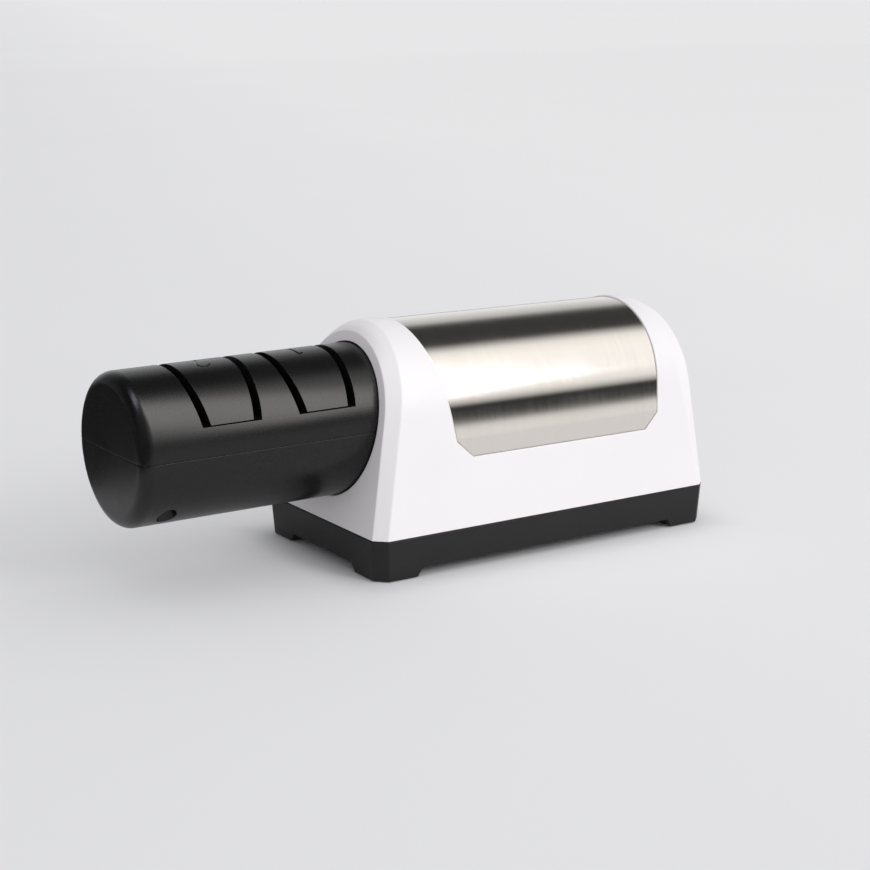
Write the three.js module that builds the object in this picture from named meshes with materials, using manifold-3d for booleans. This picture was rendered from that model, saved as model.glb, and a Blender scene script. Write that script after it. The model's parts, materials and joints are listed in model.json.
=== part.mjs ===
// Electric knife sharpener with a plug-in sharpening head.
// Millimetres. +Z is up, the head points to -X, and the user stands on the +Y side.
// The origin is on the floor, under the middle of the whole object.

import * as THREE from 'three';
import { mergeVertices } from 'three/addons/utils/BufferGeometryUtils.js';
import Module from 'manifold-3d';

const wasm = await Module();
wasm.setup();

// Whole object
const baseLength = 153.5;
const baseWidth = 85.4;
const baseHeight = 15.6;
const cornerChamfer = 4.3;
const headDiameter = 56;
const headOverhang = 83.95; // from the base's front edge to the end of the head
const headLift = 9.4; // from the top of the base up to the underside of the head
const seatGap = 0.3; // between pieces that touch
const runGap = 0.35; // round what slides or turns
const cutOverrun = 3; // how far a cutter runs past a face

// Housing
const collarRim = 8; // from the head's surface out to the arch
const archDrop = 0.4; // the arch is struck from a centre this far below the head's axis
const shellWall = 3.2;
const bevelRise = 3.4; // how far the bevel climbs from the end faces to the arch
const bevelSwellShare = 0.83; // of the way from a flat bevel to a sharp corner, over the arch
const crestFall = 1.8; // how much lower the arch's crest ends at the rear than it starts
const frontRake = 12.7; // degrees, as the other slopes
const frontEdgeRake = 13.5;
const rearRake = 3.15;
const rearEdgeRake = 7.35;
const housingPostRadius = 4.2;
const housingPostHeight = 12;

// Socket for the head
const socketDepth = 14; // from the front face to the socket's floor, along the axis
const socketWall = 2.4;
const socketFloor = 2.4;

// Steel cover
const coverStart = 37.65; // from the base's front edge, at the height of the axis
const coverLength = 94.75;
const coverDrop = 12; // from the axis down to the cover's lower edge
const coverCornerLength = 6.5;
const coverCornerHeight = 6.2;
const coverFrontFlare = 8;
const coverRearFlare = 7;
const coverSheet = 0.8;
const coverRecess = 0.5; // how far the cover lies below the white surface

// Base tray
const baseTaper = 0.94;
const trayWall = 2.4;
const trayFloor = 2.4;
const legReachX = 17.4;
const legReachY = 18.5;
const legSlant = 2.2;
const legHeight = 3.5;
const baseScrewInsetX = 25.75;
const baseScrewInsetY = 9.7;
const trayPostRadius = 4.5;
const ventWidth = 2.4;
const ventPitch = 5.2;
const ventLength = 15;
const ventCount = 5;

// Feet
const footRadius = 5.5;
const footThickness = 2;
const footProud = 0.4; // how far a pad stands out of its leg

// Screws
const screwHeadRadius = 2.7;
const screwHeadHeight = 1.9;
const screwShankRadius = 1.5;
const screwRecess = 1.1;
const baseScrewLength = 15;
const clampScrewLength = 10;
const headScrewLength = 18;
const counterboreDepth = 4;
const pilotStop = 1.2; // left over the end of a blind pilot hole
const headCounterboreLift = 8; // from the head's parting plane down to its screw heads

// Motor
const motorRoom = 10.8; // between the motor and the inside of the housing's arch
const motorStart = 24; // from the back of the socket's floor to the motor
const fanOutletRoom = 16.05; // between the fan and the housing's rear wall
const canWall = 1.6;
const bellThickness = 3;
const bearingRadius = 8;
const bearingWidth = 5;
const bearingLip = 1.2;
const bearingWall = 1.8;
const motorShaftRadius = 2.5;
const magnetThickness = 3.6;
const magnetAngle = 130;
const magnetInset = 5; // from the front of the can
const magnetEndRoom = 15; // from the magnets to the rear of the can
const airGap = 0.6;
const armatureInset = 3; // the armature is this much shorter than the magnets at each end
const slotCount = 8;
const armatureSlotWidth = 3.4;
const armatureHubRadius = 8;
const windingReach = 4.5; // how far the copper stands out at each end
const commutatorRadius = 7;
const commutatorLength = 9;
const brushWidth = 5;
const brushHeight = 4.4;
const brushLength = 8;
const brushHolderWall = 1.3;
const bellVentRadius = 2.6;
const bellVentCount = 4;

// Cooling fan
const fanStart = 3; // from the rear bearing boss
const fanWidth = 8;
const fanRoom = 3.5; // how much smaller than the motor
const fanPlate = 1.2;
const fanHubRadius = 5;
const fanBladeCount = 9;
const fanBladeThickness = 1.2;

// Motor mount
const saddleDrop = 9; // from the axis down to the top of the saddles
const saddleThickness = 6;
const saddleFootWall = 1.8; // beside the motor's seat, at the shoulders
const clampSheet = 2;
const clampInset = 8.7; // from the front of the can
const clampEndRoom = 11.3; // from the clamp to the rear of the can
const clampReach = 8; // flanges beyond the motor's side
const clampScrewInset = 3.4;

// Coupling between motor and head
const couplingRadius = 5.5;
const couplingEngage = 8;
const couplingHub = 5;
const couplingWall = 3;
const couplingBack = 6;
const couplingHoleRoom = 1;

// Rocker switch
const switchLift = 12.4; // from the top of the base up to the middle of the switch
const switchWidth = 21;
const switchHeight = 14.6;
const switchBezel = 1.6;
const switchBezelRim = 1.4;
const switchSink = 1.6; // how deep the bezel's recess is
const switchDepth = 14;
const rockerHalfLength = 7.9;
const rockerWidth = 9.6;
const rockerEndRise = 2.2;
const rockerMiddleRise = 1.4;
const rockerBelly = 3;
const rockerPivotDrop = 0.6; // below the floor of the bezel's recess
const rockerTilt = 8; // degrees to each side of level
const rockerPinRadius = 0.9;
const rockerPinLength = 0.8;

// Inlet for a detachable lead
const inletLift = 14.4; // from the top of the base up to the middle of the inlet
const inletWidth = 24;
const inletHeight = 13;
const inletBezel = 1.6;
const inletBezelRim = 1.6;
const inletSink = 1.6;
const inletDepth = 16;
const inletSocketDepth = 12;
const inletPinSpacing = 8.6;
const inletSocketRadius = 4.4;
const inletPinRadius = 1.2;
const inletPinShort = 2.5; // the pins end this far inside the socket's mouth
const inletPinTail = 3;

// Circuit board and leads
const boardLength = 34;
const boardWidth = 44;
const boardThickness = 1.6;
const boardLift = 6;
const boardInset = 8; // from the base's rear edge
const boardPostRadius = 2.5;
const boardPostInset = 4;
const boardPartSize = 4.25; // of the parts soldered to the board
const boardPartHeight = 8.5;
const leadRoom = 0.8; // between the switch leads and the saddles' feet
const leadRadius = 1.1;
const leadSag = 4;

// Sharpening head
const headWall = 2.4;
const headEndFillet = 5;
const headCrown = 0.2;
const stageSetback = 35.7; // from the end of the head to the middle of the outer stage
const stageInnerSetback = 32.3; // from the middle of the inner stage to the head's inner end
const slotWidth = 3.1;
const slotTilt = 9;
const slotFloorLift = 10.3; // from the axis up to the bottoms of the slots
const slotHalfSpacing = 9.85; // from a stage's middle to the bottom of a slot
const slotWall = 2;
const headPostRadius = 4.1;
const headPostSide = 17.4;
const headPostInset = 13.15;
const headInnerPostInset = 8;
const headBearingInset = 5.2;
const headWebThickness = 6.2;

// Spindle and discs
const spindleRadius = 3;
const hexRadius = 4;
const sleeveRadius = 6;
const discRadius = 17.2;
const discRimThickness = 2.2;
const discHubRadius = 6.5;
const discFace = 9.5; // from a stage's middle to a disc's face at its hub
const discCone = 8; // degrees
const discFlatRadius = 9.5;
const discTravel = 1.3; // that each disc can be pressed towards its stage's middle
const discRoom = 0.9; // beside the discs, inside the upper shell
const discTipRoom = 0.6; // over the discs, under a guide block
const clipThickness = 0.8;
const clipShoulder = 1.6; // of the hexagon beyond each clip
const clipRadius = 6;
const springWire = 0.45; // radius
const springRadius = 5;
const springCurls = 4;
const springSlack = 0.12; // left at each end when both discs are pressed home

// Smoothness, as counts
const headSides = 36;
const discSides = 32;
const roundSides = 20;
const smallSides = 10;
const archSides = 20;
const bevelSteps = 3;
const filletSteps = 4;
const hollowFilletSteps = 2;
const hexSides = 6;
const curlSteps = 8;
const curlSides = 5;
const leadSteps = 12;
const leadSides = 4;
const mergeTolerance = 1e-5;
const sliverTolerance = 0.004; // in millimetres, for faces left by cutting the housing

const degree = Math.PI / 180;
const slope = (degrees) => Math.tan(degrees * degree);
const mitreShare = slope(45 / 2); // how far a corner moves when its two walls are set in

// Where the main things are
const headRadius = headDiameter / 2;
const axisZ = baseHeight + headLift + headRadius;
const overallLength = headOverhang + baseLength;
const baseFrontX = headOverhang - overallLength / 2;
const baseRearX = overallLength / 2;
const headEndX = -overallLength / 2;
const halfWidth = baseWidth / 2;
const archRadius = headRadius + collarRim;
const archCentreZ = axisZ - archDrop;
const crestZ = archCentreZ + archRadius;
const housingFootZ = baseHeight + seatGap;
const trayFloorZ = legHeight + trayFloor;
const screwHoleRadius = screwShankRadius + seatGap;
const screwHeadHoleRadius = screwHeadRadius + seatGap;

const frontFaceX = (z) => baseFrontX + (z - baseHeight) * slope(frontRake);
const frontEdgeX = (z) => baseFrontX + cornerChamfer + (z - baseHeight) * slope(frontEdgeRake);
const rearFaceX = (z) => baseRearX - (z - baseHeight) * slope(rearRake);
const rearEdgeX = (z) => baseRearX - cornerChamfer - (z - baseHeight) * slope(rearEdgeRake);
const crestFrontX = frontEdgeX(crestZ);
const crestLength = rearEdgeX(crestZ) - crestFrontX;

const socketRadius = headRadius + runGap;
const socketFloorX = frontFaceX(axisZ) + socketDepth;
const socketBackX = socketFloorX + socketFloor;
const headInnerX = socketFloorX - seatGap;

const motorX = socketBackX + motorStart;
const motorRadius = archRadius - shellWall - motorRoom;
const canStart = bellThickness + seatGap;
const fanRadius = motorRadius - fanRoom;
const bossReach = bearingWidth + seatGap + bearingLip; // from a bell's inner face outwards
const rotorEnd = rearFaceX(axisZ + fanRadius) - shellWall - fanOutletRoom - motorX;
const fanX = rotorEnd - fanPlate - fanWidth;
const rearBellStart = fanX - fanStart - bossReach;
const canLength = rearBellStart - seatGap - canStart;
const bearingSeatRadius = bearingRadius + seatGap;
const bearingBossRadius = bearingSeatRadius + bearingWall;
const magnetRadius = motorRadius - canWall - seatGap;
const armatureRadius = magnetRadius - magnetThickness - airGap;
const magnetStart = canStart + magnetInset;
const magnetLength = canLength - magnetInset - magnetEndRoom;
const armatureStart = magnetStart + armatureInset;
const armatureLength = magnetLength - 2 * armatureInset;
const commutatorStart = rearBellStart - commutatorLength - seatGap;
const clampStart = canStart + clampInset;
const clampLength = canLength - clampInset - clampEndRoom;

const hexMaleStart = socketFloorX + couplingHub;
const hexMaleEnd = hexMaleStart + couplingEngage;
const driverRadius = couplingRadius + runGap + couplingWall;
const driverStart = hexMaleStart + seatGap;
const driverPocketEnd = hexMaleEnd + seatGap;
const driverEnd = driverPocketEnd + couplingBack;

const stageTwoX = headEndX + stageSetback;
const stageOneX = headInnerX - stageInnerSetback;
const headInnerWallX = headInnerX - headWall;
const outerBearingX = headEndX + headBearingInset;
const innerBearingX = headInnerWallX - seatGap - bearingWidth;
const discBore = hexRadius + seatGap;
const clipStart = discFace + seatGap; // from a stage's middle

// Materials
const finishes = {
  whitePlastic: [0xf2eff1, 0.45, 0],
  blackPlastic: [0x2a2a2b, 0.55, 0],
  satinBlack: [0x1f1e1e, 0.38, 0],
  brushedSteel: [0xbdb9b4, 0.32, 1],
  rubber: [0x1b1b1b, 0.9, 0],
  steel: [0xa9abad, 0.35, 1],
  zincSteel: [0xb9bcc0, 0.3, 1],
  laminated: [0x77797b, 0.5, 1],
  copper: [0xb4693a, 0.35, 1],
  carbon: [0x2b2b2d, 0.7, 0],
  ferrite: [0x3a3a3c, 0.8, 0],
  brass: [0xc2a253, 0.3, 1],
  greyPlastic: [0x8c8f92, 0.5, 0],
  boardGreen: [0x2c6a3d, 0.5, 0],
  leadBlack: [0x232324, 0.6, 0],
  diamondGrit: [0x8f8878, 0.75, 0.4],
};

function material(finish) {
  const [color, roughness, metalness] = finishes[finish];
  return new THREE.MeshStandardMaterial({ color, roughness, metalness });
}

// Solids from geometry, and back
function toSolid(geometry) {
  const bare = geometry.clone();
  bare.deleteAttribute('normal');
  bare.deleteAttribute('uv');
  const merged = mergeVertices(bare, mergeTolerance);
  const index = merged.index.array;
  const corners = [];
  for (let i = 0; i < index.length; i += 3) {
    const [a, b, c] = [index[i], index[i + 1], index[i + 2]];
    if (a !== b && b !== c && c !== a) corners.push(a, b, c);
  }
  return new wasm.Manifold(new wasm.Mesh({
    numProp: 3,
    vertProperties: new Float32Array(merged.attributes.position.array),
    triVerts: new Uint32Array(corners),
  }));
}

function toGeometry(solid) {
  const mesh = solid.getMesh();
  const geometry = new THREE.BufferGeometry();
  geometry.setAttribute('position', new THREE.BufferAttribute(mesh.vertProperties, 3));
  geometry.setIndex(new THREE.BufferAttribute(mesh.triVerts, 1));
  geometry.computeVertexNormals();
  return geometry;
}

const join = (first, ...others) => others.reduce((whole, other) => whole.add(other), first);
const cut = (first, ...others) => others.reduce((whole, other) => whole.subtract(other), first);
const common = (first, ...others) => others.reduce((whole, other) => whole.intersect(other), first);

// Bars, blocks and prisms, each between two places along its axis
function barX(x0, x1, radius, sides = roundSides, y = 0, z = 0) {
  const geometry = new THREE.CylinderGeometry(radius, radius, x1 - x0, sides);
  geometry.rotateZ(-Math.PI / 2);
  geometry.translate((x0 + x1) / 2, y, z);
  return toSolid(geometry);
}

function barY(y0, y1, radius, sides = smallSides, x = 0, z = 0) {
  const geometry = new THREE.CylinderGeometry(radius, radius, y1 - y0, sides);
  geometry.translate(x, (y0 + y1) / 2, z);
  return toSolid(geometry);
}

function barZ(x, y, z0, z1, radius, sides = smallSides) {
  const geometry = new THREE.CylinderGeometry(radius, radius, z1 - z0, sides);
  geometry.rotateX(Math.PI / 2);
  geometry.translate(x, y, (z0 + z1) / 2);
  return toSolid(geometry);
}

function block(x0, x1, y0, y1, z0, z1) {
  const geometry = new THREE.BoxGeometry(x1 - x0, y1 - y0, z1 - z0);
  geometry.translate((x0 + x1) / 2, (y0 + y1) / 2, (z0 + z1) / 2);
  return toSolid(geometry);
}

const vectorX = new THREE.Vector3(1, 0, 0);
const vectorY = new THREE.Vector3(0, 1, 0);
const vectorZ = new THREE.Vector3(0, 0, 1);

function prismGeometry(outline, depth) {
  return new THREE.ExtrudeGeometry(new THREE.Shape(outline), { depth, bevelEnabled: false });
}

// The outline lies in Y and Z
function prismX(outline, x0, x1) {
  const geometry = prismGeometry(outline, x1 - x0);
  geometry.applyMatrix4(new THREE.Matrix4().makeBasis(vectorY, vectorZ, vectorX));
  geometry.translate(x0, 0, 0);
  return toSolid(geometry);
}

// The outline lies in X and Z
function prismY(outline, y0, y1) {
  const geometry = prismGeometry(outline, y1 - y0);
  geometry.applyMatrix4(new THREE.Matrix4().makeBasis(vectorX, vectorZ, vectorY.clone().negate()));
  geometry.translate(0, y1, 0);
  return toSolid(geometry);
}

// The outline lies in X and Y
function prismZ(outline, z0, z1) {
  const geometry = prismGeometry(outline, z1 - z0);
  geometry.translate(0, 0, z0);
  return toSolid(geometry);
}

// Turned about X, from points of place along X and radius
function turnedX(profile, sides = roundSides) {
  const points = profile.map(([x, radius]) => new THREE.Vector2(radius, x));
  const geometry = new THREE.LatheGeometry(points, sides);
  geometry.applyMatrix4(new THREE.Matrix4().makeBasis(vectorY, vectorX, vectorZ.clone().negate()));
  return toSolid(geometry);
}

// Turned about Z, from points of radius and height
function turnedZ(profile, sides = smallSides) {
  const points = profile.map(([radius, z]) => new THREE.Vector2(radius, z));
  const geometry = new THREE.LatheGeometry(points, sides);
  geometry.rotateX(Math.PI / 2);
  return toSolid(geometry);
}

// A closed skin through outlines of like count, each wound left about the way they follow
function loft(rings) {
  const count = rings[0].length;
  const positions = rings.flat().flatMap((point) => [point.x, point.y, point.z]);
  const corners = [];
  for (let ring = 0; ring < rings.length - 1; ring += 1) {
    for (let i = 0; i < count; i += 1) {
      const next = (i + 1) % count;
      const [a, b] = [ring * count + i, ring * count + next];
      const [c, d] = [b + count, a + count];
      corners.push(a, b, d, b, c, d);
    }
  }
  const last = (rings.length - 1) * count;
  for (let i = 1; i < count - 1; i += 1) {
    corners.push(0, i + 1, i, last, last + i, last + i + 1);
  }
  const geometry = new THREE.BufferGeometry();
  geometry.setAttribute('position', new THREE.Float32BufferAttribute(positions, 3));
  geometry.setIndex(corners);
  return toSolid(geometry);
}

function arcPoints(radius, startAngle, endAngle, steps) {
  const points = [];
  for (let i = 0; i <= steps; i += 1) {
    const angle = THREE.MathUtils.lerp(startAngle, endAngle, i / steps);
    points.push(new THREE.Vector2(radius * Math.cos(angle), radius * Math.sin(angle)));
  }
  return points;
}

const inPlane = (points, dx, dy) => points.map(({ x, y }) => new THREE.Vector2(x + dx, y + dy));

// Housing sections: straight flanks that run on into an arch
function flankAngleOf(radius, footHalfWidth) {
  const drop = archCentreZ - baseHeight;
  return Math.acos(radius / Math.hypot(footHalfWidth, drop)) - Math.atan2(drop, footHalfWidth);
}

const flankAngle = flankAngleOf(archRadius, halfWidth);
const faceFlankAngle = flankAngleOf(archRadius - bevelRise, halfWidth - cornerChamfer);

function sectionOutline(radius, angle, footZ) {
  const tangentY = radius * Math.cos(angle);
  const tangentZ = archCentreZ + radius * Math.sin(angle);
  const footY = tangentY + (tangentZ - footZ) * Math.tan(angle);
  return [
    new THREE.Vector2(footY, footZ),
    ...inPlane(arcPoints(radius, angle, Math.PI - angle, archSides), 0, archCentreZ),
    new THREE.Vector2(-footY, footZ),
  ];
}

// The housing sinks towards the rear, most at its crest and not at all at its foot
function settled(solid) {
  return solid.warp((point) => {
    const liftShare = (point[2] - housingFootZ) / (crestZ - housingFootZ);
    point[2] -= crestFall * liftShare * ((point[0] - crestFrontX) / crestLength);
  });
}

// From an end face to the arch's edge: rounded over the arch, and flat at the foot
function bevelRings(face, edge) {
  const rings = [];
  for (let step = 0; step <= bevelSteps; step += 1) {
    rings.push(face.map((from, i) => {
      const to = edge[i];
      const middle = from.clone().lerp(to, 1 / 2);
      const corner = new THREE.Vector3(from.x, to.y, to.z);
      const overArch = i > 0 && i < face.length - 1;
      if (overArch) middle.lerp(corner, bevelSwellShare);
      return new THREE.QuadraticBezierCurve3(from, middle, to).getPoint(step / bevelSteps);
    }));
  }
  return rings;
}

function housingForm(inset, footZ) {
  const mitre = inset * mitreShare;
  const face = sectionOutline(archRadius - bevelRise - mitre, faceFlankAngle, footZ);
  const edge = sectionOutline(archRadius - inset, flankAngle, footZ);
  const ring = (outline, place) => outline.map(({ x, y }) => new THREE.Vector3(place(y), x, y));
  const front = bevelRings(
    ring(face, (z) => frontFaceX(z) + inset),
    ring(edge, (z) => frontEdgeX(z) + mitre),
  );
  const rear = bevelRings(
    ring(face, (z) => rearFaceX(z) - inset),
    ring(edge, (z) => rearEdgeX(z) - mitre),
  );
  return settled(loft([...front, ...rear.reverse()]));
}

function coverOutline(grow) {
  const topZ = crestZ + cutOverrun;
  const lowZ = axisZ - coverDrop - grow;
  const cornerZ = lowZ + coverCornerHeight;
  const startAt = (z) => baseFrontX + coverStart - grow - (z - axisZ) * slope(coverFrontFlare);
  const endAt = (z) => baseFrontX + coverStart + coverLength + grow + (z - axisZ) * slope(coverRearFlare);
  return [
    new THREE.Vector2(startAt(cornerZ) + coverCornerLength, lowZ),
    new THREE.Vector2(endAt(cornerZ) - coverCornerLength, lowZ),
    new THREE.Vector2(endAt(cornerZ), cornerZ),
    new THREE.Vector2(endAt(topZ), topZ),
    new THREE.Vector2(startAt(topZ), topZ),
    new THREE.Vector2(startAt(cornerZ), cornerZ),
  ];
}

// What lies over a section, as long as the base
function aroundSection(depth, outline) {
  const core = prismX(
    sectionOutline(archRadius - depth, flankAngle, baseHeight - cutOverrun),
    baseFrontX - cutOverrun,
    baseRearX + cutOverrun,
  );
  const reach = halfWidth + cutOverrun;
  return settled(cut(prismY(outline, -reach, reach), core));
}

// Places of the four base screws and of the switch and inlet
const screwPlaces = [];
for (const [end, x] of [['front', baseFrontX + baseScrewInsetX], ['rear', baseRearX - baseScrewInsetX]]) {
  for (const [hand, side] of [['left', -1], ['right', 1]]) {
    screwPlaces.push({ name: `${end}_${hand}`, x, side, y: side * (halfWidth - baseScrewInsetY) });
  }
}

const switchX = motorX + clampStart + clampLength / 2;
const switchZ = baseHeight + switchLift - switchSink * Math.sin(flankAngle);
const switchY = halfWidth - switchLift * Math.tan(flankAngle) - switchSink * Math.cos(flankAngle);
const switchTurn = flankAngle - Math.PI / 2;
const inletZ = baseHeight + inletLift;
const inletX = rearFaceX(inletZ) - inletSink;
const inletTurn = (90 - rearRake) * degree;

function turnedFrame(x, y, z, turnX, turnY) {
  const group = new THREE.Group();
  group.position.set(x, y, z);
  group.rotation.set(turnX, turnY, 0);
  group.updateMatrix();
  return group;
}

const switchFrame = turnedFrame(switchX, switchY, switchZ, switchTurn, 0);
const inletFrame = turnedFrame(inletX, 0, inletZ, 0, inletTurn);

function blockInFrame(frame, halfX, halfY, z0, z1) {
  const geometry = new THREE.BoxGeometry(halfX * 2, halfY * 2, z1 - z0);
  geometry.translate(0, 0, (z0 + z1) / 2);
  geometry.applyMatrix4(frame.matrix);
  return toSolid(geometry);
}

// A hole through the wall with a wider, shallow recess for the bezel round it
function steppedHole(frame, halfX, halfY, rim) {
  const [x, y] = [halfX + seatGap, halfY + seatGap];
  return join(
    blockInFrame(frame, x - rim, y - rim, -shellWall - cutOverrun, seatGap),
    blockInFrame(frame, x, y, 0, cutOverrun + seatGap),
  );
}

function housingShell() {
  const outside = housingForm(0, housingFootZ);
  const hollow = housingForm(shellWall, housingFootZ - cutOverrun);
  const frontReach = baseFrontX - cutOverrun;
  const collar = barX(frontReach, socketBackX, socketRadius + socketWall, headSides, 0, axisZ);
  let shell = join(cut(outside, hollow), common(collar, outside));
  const postTopZ = housingFootZ + housingPostHeight;
  for (const place of screwPlaces) {
    const wallY = place.side * halfWidth;
    const [y0, y1] = [Math.min(place.y, wallY), Math.max(place.y, wallY)];
    const [x0, x1] = [place.x - housingPostRadius, place.x + housingPostRadius];
    const web = block(x0, x1, y0, y1, housingFootZ, postTopZ);
    const post = barZ(place.x, place.y, housingFootZ, postTopZ, housingPostRadius);
    const pilotTopZ = postTopZ - pilotStop;
    const pilot = barZ(place.x, place.y, baseHeight - cutOverrun, pilotTopZ, screwHoleRadius);
    shell = cut(join(shell, common(join(web, post), outside)), pilot);
  }
  const holeRadius = driverRadius + couplingHoleRoom;
  return cut(
    shell,
    barX(frontReach, socketFloorX, socketRadius, headSides, 0, axisZ),
    barX(frontReach, socketBackX + cutOverrun, holeRadius, roundSides, 0, axisZ),
    aroundSection(coverRecess + coverSheet + seatGap, coverOutline(seatGap)),
    steppedHole(switchFrame, switchWidth / 2, switchHeight / 2, switchBezelRim),
    steppedHole(inletFrame, inletHeight / 2, inletWidth / 2, inletBezelRim),
  ).simplify(sliverTolerance);
}

function steelCover() {
  const inner = coverRecess + coverSheet;
  const sheet = cut(
    prismX(sectionOutline(archRadius - coverRecess, flankAngle, baseHeight), baseFrontX, baseRearX),
    prismX(
      sectionOutline(archRadius - inner, flankAngle, baseHeight - cutOverrun),
      baseFrontX - cutOverrun,
      baseRearX + cutOverrun,
    ),
  );
  return settled(common(sheet, prismY(coverOutline(0), -halfWidth, halfWidth)));
}

// Base tray
function trayRing(z, inset) {
  const taper = inset + baseTaper * (1 - z / baseHeight);
  const [x0, x1] = [baseFrontX + taper, baseRearX - taper];
  const y = halfWidth - taper;
  const c = cornerChamfer - inset * mitreShare;
  return [
    [x1, -y + c], [x1, y - c], [x1 - c, y], [x0 + c, y],
    [x0, y - c], [x0, -y + c], [x0 + c, -y], [x1 - c, -y],
  ].map(([px, py]) => new THREE.Vector3(px, py, z));
}

const trayForm = (z0, z1, inset) => loft([trayRing(z0, inset), trayRing(z1, inset)]);

// A low prism under the base that leaves legs of the given reach at both ends
function undercut(low, high, reach) {
  const slant = legSlant * (cutOverrun / legHeight);
  return [
    [low + reach - slant, -cutOverrun],
    [high - reach + slant, -cutOverrun],
    [high - reach - legSlant, legHeight],
    [low + reach + legSlant, legHeight],
  ].map(([along, z]) => new THREE.Vector2(along, z));
}

const saddleShoulderZ = switchZ + switchHeight / 2;
const saddleTopZ = axisZ - saddleDrop;
const saddleSeatReach = Math.sqrt((motorRadius + seatGap) ** 2 - (axisZ - saddleShoulderZ) ** 2);
const saddleFootReach = saddleSeatReach + saddleFootWall;
const leadSide = saddleFootReach + leadRoom + 2 * leadRadius;
const clampScrewSide = motorRadius + clampReach - clampScrewInset;

// A foot that leaves room for the switch and its leads, and shoulders that carry the clamp
function saddle(x0) {
  const reach = motorRadius + clampReach;
  const x1 = x0 + saddleThickness;
  const plate = join(
    block(x0, x1, -saddleFootReach, saddleFootReach, trayFloorZ - seatGap, saddleShoulderZ + seatGap),
    block(x0, x1, -reach, reach, saddleShoulderZ, saddleTopZ),
  );
  const seat = barX(x0 - cutOverrun, x1 + cutOverrun, motorRadius + seatGap, headSides, 0, axisZ);
  const pilots = [-clampScrewSide, clampScrewSide].map((y) => barZ(
    (x0 + x1) / 2, y, saddleShoulderZ - cutOverrun, saddleTopZ + cutOverrun, screwHoleRadius,
  ));
  return cut(plate, seat, ...pilots);
}

const saddleStarts = [motorX + clampStart, motorX + clampStart + clampLength - saddleThickness];
const boardEndX = baseRearX - boardInset;
const boardStartX = boardEndX - boardLength;
const boardZ = trayFloorZ + boardLift;

function footPlaces() {
  return screwPlaces.map(({ name, side }) => {
    const front = name.startsWith('front');
    const inset = (legReachX + baseTaper) / 2;
    const x = front ? baseFrontX + inset : baseRearX - inset;
    return { name, x, y: side * (halfWidth - (legReachY + baseTaper) / 2) };
  });
}

function baseTray() {
  const floorTop = trayFloorZ;
  const body = trayForm(footProud, baseHeight, 0);
  const hollow = trayForm(floorTop, baseHeight + cutOverrun, trayWall);
  let tray = cut(
    body,
    hollow,
    prismY(undercut(baseFrontX, baseRearX, legReachX), -baseWidth, baseWidth),
    prismX(undercut(-halfWidth, halfWidth, legReachY), baseFrontX - cutOverrun, baseRearX + cutOverrun),
  );
  for (const { x, y } of screwPlaces) {
    tray = join(tray, barZ(x, y, legHeight, baseHeight, trayPostRadius));
    tray = cut(
      tray,
      barZ(x, y, -cutOverrun, legHeight + counterboreDepth, screwHeadHoleRadius),
      barZ(x, y, -cutOverrun, baseHeight + cutOverrun, screwHoleRadius),
    );
  }
  for (const { x, y } of footPlaces()) {
    const recess = barZ(x, y, -cutOverrun, footThickness + seatGap, footRadius + seatGap, roundSides);
    tray = cut(tray, recess);
  }
  for (const x0 of saddleStarts) {
    tray = join(tray, saddle(x0));
  }
  for (const x of [boardStartX + boardPostInset, boardEndX - boardPostInset]) {
    for (const side of [-1, 1]) {
      const y = side * (boardWidth / 2 - boardPostInset);
      tray = join(tray, barZ(x, y, floorTop - seatGap, boardZ - seatGap, boardPostRadius));
    }
  }
  const ventMiddle = saddleStarts[0] + (clampLength + saddleThickness) / 2;
  for (let i = 0; i < ventCount; i += 1) {
    const x = ventMiddle + (i - (ventCount - 1) / 2) * ventPitch - saddleThickness / 2;
    const [x0, x1] = [x - ventWidth / 2, x + ventWidth / 2];
    tray = cut(tray, block(x0, x1, -ventLength, ventLength, 0, floorTop + cutOverrun));
  }
  return tray;
}

const footPad = () => turnedZ([
  [0, 0], [footRadius - seatGap, 0], [footRadius, seatGap], [footRadius, footThickness], [0, footThickness],
]);

// A screw with its head at the origin and its shank up +Z
function screw(length) {
  return turnedZ([
    [0, screwRecess],
    [screwShankRadius, 0],
    [screwHeadRadius, 0],
    [screwHeadRadius, screwHeadHeight],
    [screwShankRadius, screwHeadHeight],
    [screwShankRadius, screwHeadHeight + length - screwShankRadius],
    [0, screwHeadHeight + length],
  ]);
}

// Motor, in a frame whose X starts at the front bell
function bell(innerX, outward) {
  const face = innerX + outward * bellThickness;
  const bossEnd = innerX + outward * bossReach;
  const between = (a, b, radius, sides) => barX(Math.min(a, b), Math.max(a, b), radius, sides);
  let form = join(
    between(innerX, face, motorRadius, headSides),
    between(innerX, bossEnd, bearingBossRadius),
  );
  form = cut(
    form,
    between(innerX - outward * cutOverrun, innerX + outward * (bearingWidth + seatGap), bearingSeatRadius),
    between(innerX, bossEnd + outward * cutOverrun, motorShaftRadius + runGap),
  );
  const ventRing = (motorRadius + bearingBossRadius) / 2;
  for (let i = 0; i < bellVentCount; i += 1) {
    const angle = (i + 1 / 2) * 2 * Math.PI / bellVentCount;
    const [y, z] = [ventRing * Math.cos(angle), ventRing * Math.sin(angle)];
    form = cut(form, barX(
      Math.min(innerX, face) - cutOverrun,
      Math.max(innerX, face) + cutOverrun,
      bellVentRadius,
      smallSides,
      y,
      z,
    ));
  }
  return form;
}

const brushStart = commutatorRadius + seatGap;
const brushX = commutatorStart + (commutatorLength - brushWidth) / 2;

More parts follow.
